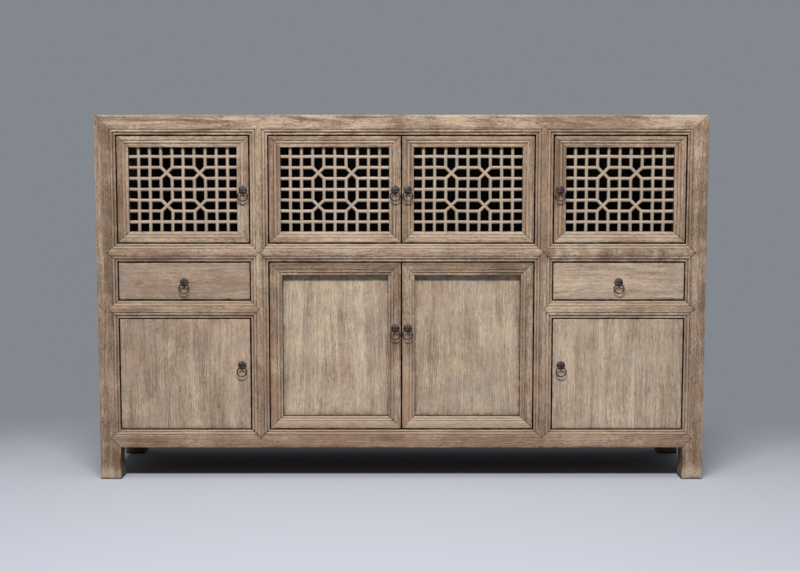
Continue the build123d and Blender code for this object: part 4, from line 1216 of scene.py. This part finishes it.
def pinShell(x, z, thickness):
    # The pin's shank through the wood, a turned rod, and its two legs clenched flat behind
    t = np.linspace(0, 2 * math.pi, 13)[:-1][None, :]
    front, back = doorFace - pull["eyeOut"] + pull["eye"], doorFace + thickness + 2 * pull["eyeWire"]
    y = np.array([front, front, front + 0.4 * mm, back, back])[:, None]
    r = np.array([0, 0.8, 1, 1, 0])[:, None] * pull["shank"]
    rod = metalShell(np.stack([x + r * np.cos(t), y + 0 * t, z + r * np.sin(t)], -1))
    along = np.array([-1, -1, -0.92, -0.4, 0.4, 0.92, 1, 1])[:, None] * pull["leg"]
    thick = np.array([0, 0.3, 0.6, 1, 1, 0.6, 0.3, 0])[:, None]
    y = doorFace + thickness + pull["eyeWire"] * (1 + thick * np.cos(t))
    legs = metalShell(np.stack([x + along + 0 * t, y, z + pull["shank"] * thick * np.sin(t)], -1))
    return [rod, legs]


def ringPull(name, thickness, seed):
    # The plate's middle is found from the ring's box, which hangs below the eye
    low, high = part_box(f"ring_{name}")
    x = (low.x + high.x) / 2
    z = (low.z + high.z) / 2 + pull["ring"] + pull["eyeDrop"]
    eyeAt = (x, doorFace - pull["eyeOut"], z - pull["eyeDrop"])
    eye = wireRing(eyeAt, alongY, alongZ, pull["eye"], pull["eyeWire"], lumps=0.01, seed=seed)
    shells = [plate(x, z, seed), eye]
    shells += pinShell(x, z - pull["eyeDrop"], thickness)
    meshPiece(f"pull_{name}_iron", shells, agedIron, name, [f"pull_{name}"], sharp=50)
    centre = (x, doorFace - pull["eyeOut"], eyeAt[2] - pull["ring"])
    ring = wireRing(centre, alongX, alongZ, pull["ring"], pull["ringWire"] * 0.97, lumps=0.012, seed=seed)
    meshPiece(f"ring_{name}_iron", [ring], agedIron, f"ring_{name}", [f"ring_{name}"], sharp=60)


frameThickness = joinery["doorThickness"]
for number, (kind, thickness) in enumerate((("lattice_door_side", frameThickness),
                                            ("lattice_door_middle", frameThickness),
                                            ("panel_door", frameThickness),
                                            ("plank_door", doors["plank"]["thickness"]),
                                            ("drawer", doors["drawer"]["thickness"]))):
    for side in sides:
        ringPull(f"{kind}_{side}", thickness, number * 2.3 + (side == "right") * 1.1)
print("ring pulls ready")


# Floor, light and camera

studio = {
    "floor": "#B2B6BF", "backdrop": "#83888E", "floorRadius": 30.0,
    "paleMiddle": (0, -0.9, 0),
    "fade": (1.45, 2.3),      # distance from there over which the floor turns into the backdrop
    "sky": "#F4F6FA", "horizon": 0.02, "zenith": 0.24,
    "key": {"at": (-0.25, -2.9, 3.9), "aim": (0, -0.1, 0.55), "size": (2.6, 0.45), "watts": 222},
    "overhead": {"at": (0, -1.0, 3.9), "aim": (0, -1.0, 0), "size": (3.5, 1.2), "watts": 45},
    "behind": {"at": (0.0, 2.4, 2.6), "aim": (0, 0.25, 0.6), "size": (2.6, 0.6), "watts": 26,
               "spares": "floor"},
}
lens = {"at": (-0.0044, -3.920, 0.9223), "tilt": 5.215, "focalPixels": 1265.5, "imageWidth": 800,
        "sensor": 36}


def seenByCamera(owner):
    # 1 for rays from the camera or off glossy metal
    path = addNode(owner, "LightPath").outputs
    return addNode(owner, "Math", {0: path["Is Camera Ray"], 1: path["Is Glossy Ray"]}, operation="MAXIMUM")


def floorDisc():
    # A flat disc, r from 0 to its radius, seen from every side
    t = np.linspace(0, 2 * math.pi, 73)[:-1]
    radius = studio["floorRadius"]
    rim = np.stack([radius * np.cos(t), radius * np.sin(t), 0 * t], -1)
    mesh = bpy.data.meshes.new("floor")
    mesh.from_pydata(rim.tolist(), [], [list(range(len(t)))])
    floor = bpy.data.objects.new("floor", mesh)
    bpy.context.scene.collection.objects.link(floor)
    m = clearNodes(bpy.data.materials.new("paleFloor"))
    surface = addNode(m, "BsdfPrincipled", {"Base Color": fromHex(studio["floor"]), "Roughness": 0.9,
                                            "Specular IOR Level": 0.1})
    # far from the cabinet the camera sees the backdrop's own colour, so floor and backdrop run together
    place = addNode(m, "TexCoord").outputs["Object"]
    distance = addNode(m, "VectorMath", {0: place, 1: studio["paleMiddle"]},
                       operation="DISTANCE").outputs["Value"]
    near, far = studio["fade"]
    fade = addNode(m, "MapRange", {0: distance, 1: near, 2: far, 3: 0.0, 4: 1.0},
                   interpolation_type="SMOOTHSTEP")
    fade = addNode(m, "Math", {0: fade, 1: seenByCamera(m)}, operation="MULTIPLY")
    backdrop = addNode(m, "Emission", {"Color": fromHex(studio["backdrop"])})
    mix = addNode(m, "MixShader", {0: fade, 1: surface, 2: backdrop})
    addNode(m, "OutputMaterial", {"Surface": mix})
    mesh.materials.append(m)


def softLight(name, look):
    light = bpy.data.lights.new(name, "AREA")
    light.shape = "RECTANGLE"
    light.size, light.size_y = look["size"]
    light.energy = look["watts"]
    lamp = bpy.data.objects.new(name, light)
    lamp.location = look["at"]
    lamp.rotation_euler = (Vector(look["aim"]) - Vector(look["at"])).to_track_quat("-Z", "Y").to_euler()
    bpy.context.scene.collection.objects.link(lamp)
    if look.get("spares"):
        # this lamp leaves the floor as it is
        spared = bpy.data.collections.new(f"{name}Spares")
        spared.objects.link(bpy.data.objects[look["spares"]])
        spared.collection_objects[0].light_linking.link_state = "EXCLUDE"
        lamp.light_linking.receiver_collection = spared


def ambientWorld():
    # Soft fill, weak from the horizon and stronger from above; the camera and glossy rays see the backdrop
    world = clearNodes(bpy.data.worlds.new("studio"))
    bpy.context.scene.world = world
    height = addNode(world, "SeparateXYZ", {0: addNode(world, "TexCoord").outputs["Generated"]}).outputs["Z"]
    rise = addNode(world, "MapRange", {0: height, 3: studio["horizon"], 4: studio["zenith"]})
    fill = addNode(world, "Background", {"Color": fromHex(studio["sky"]), "Strength": rise})
    backdrop = addNode(world, "Background", {"Color": fromHex(studio["backdrop"])})
    mix = addNode(world, "MixShader", {0: seenByCamera(world), 1: fill, 2: backdrop})
    addNode(world, "OutputWorld", {"Surface": mix})


def setCamera():
    camera = bpy.data.cameras.new("camera")
    camera.sensor_width = lens["sensor"]
    camera.lens = lens["sensor"] * lens["focalPixels"] / lens["imageWidth"]
    camera.clip_end = 100
    view = bpy.data.objects.new("camera", camera)
    view.location = lens["at"]
    view.rotation_euler = (math.radians(90 - lens["tilt"]), 0, 0)
    bpy.context.scene.collection.objects.link(view)
    bpy.context.scene.camera = view


floorDisc()
for lampName in ("key", "overhead", "behind"):
    softLight(lampName, studio[lampName])
ambientWorld()
setCamera()
bpy.context.scene.view_settings.view_transform = "Standard"
print("studio ready")
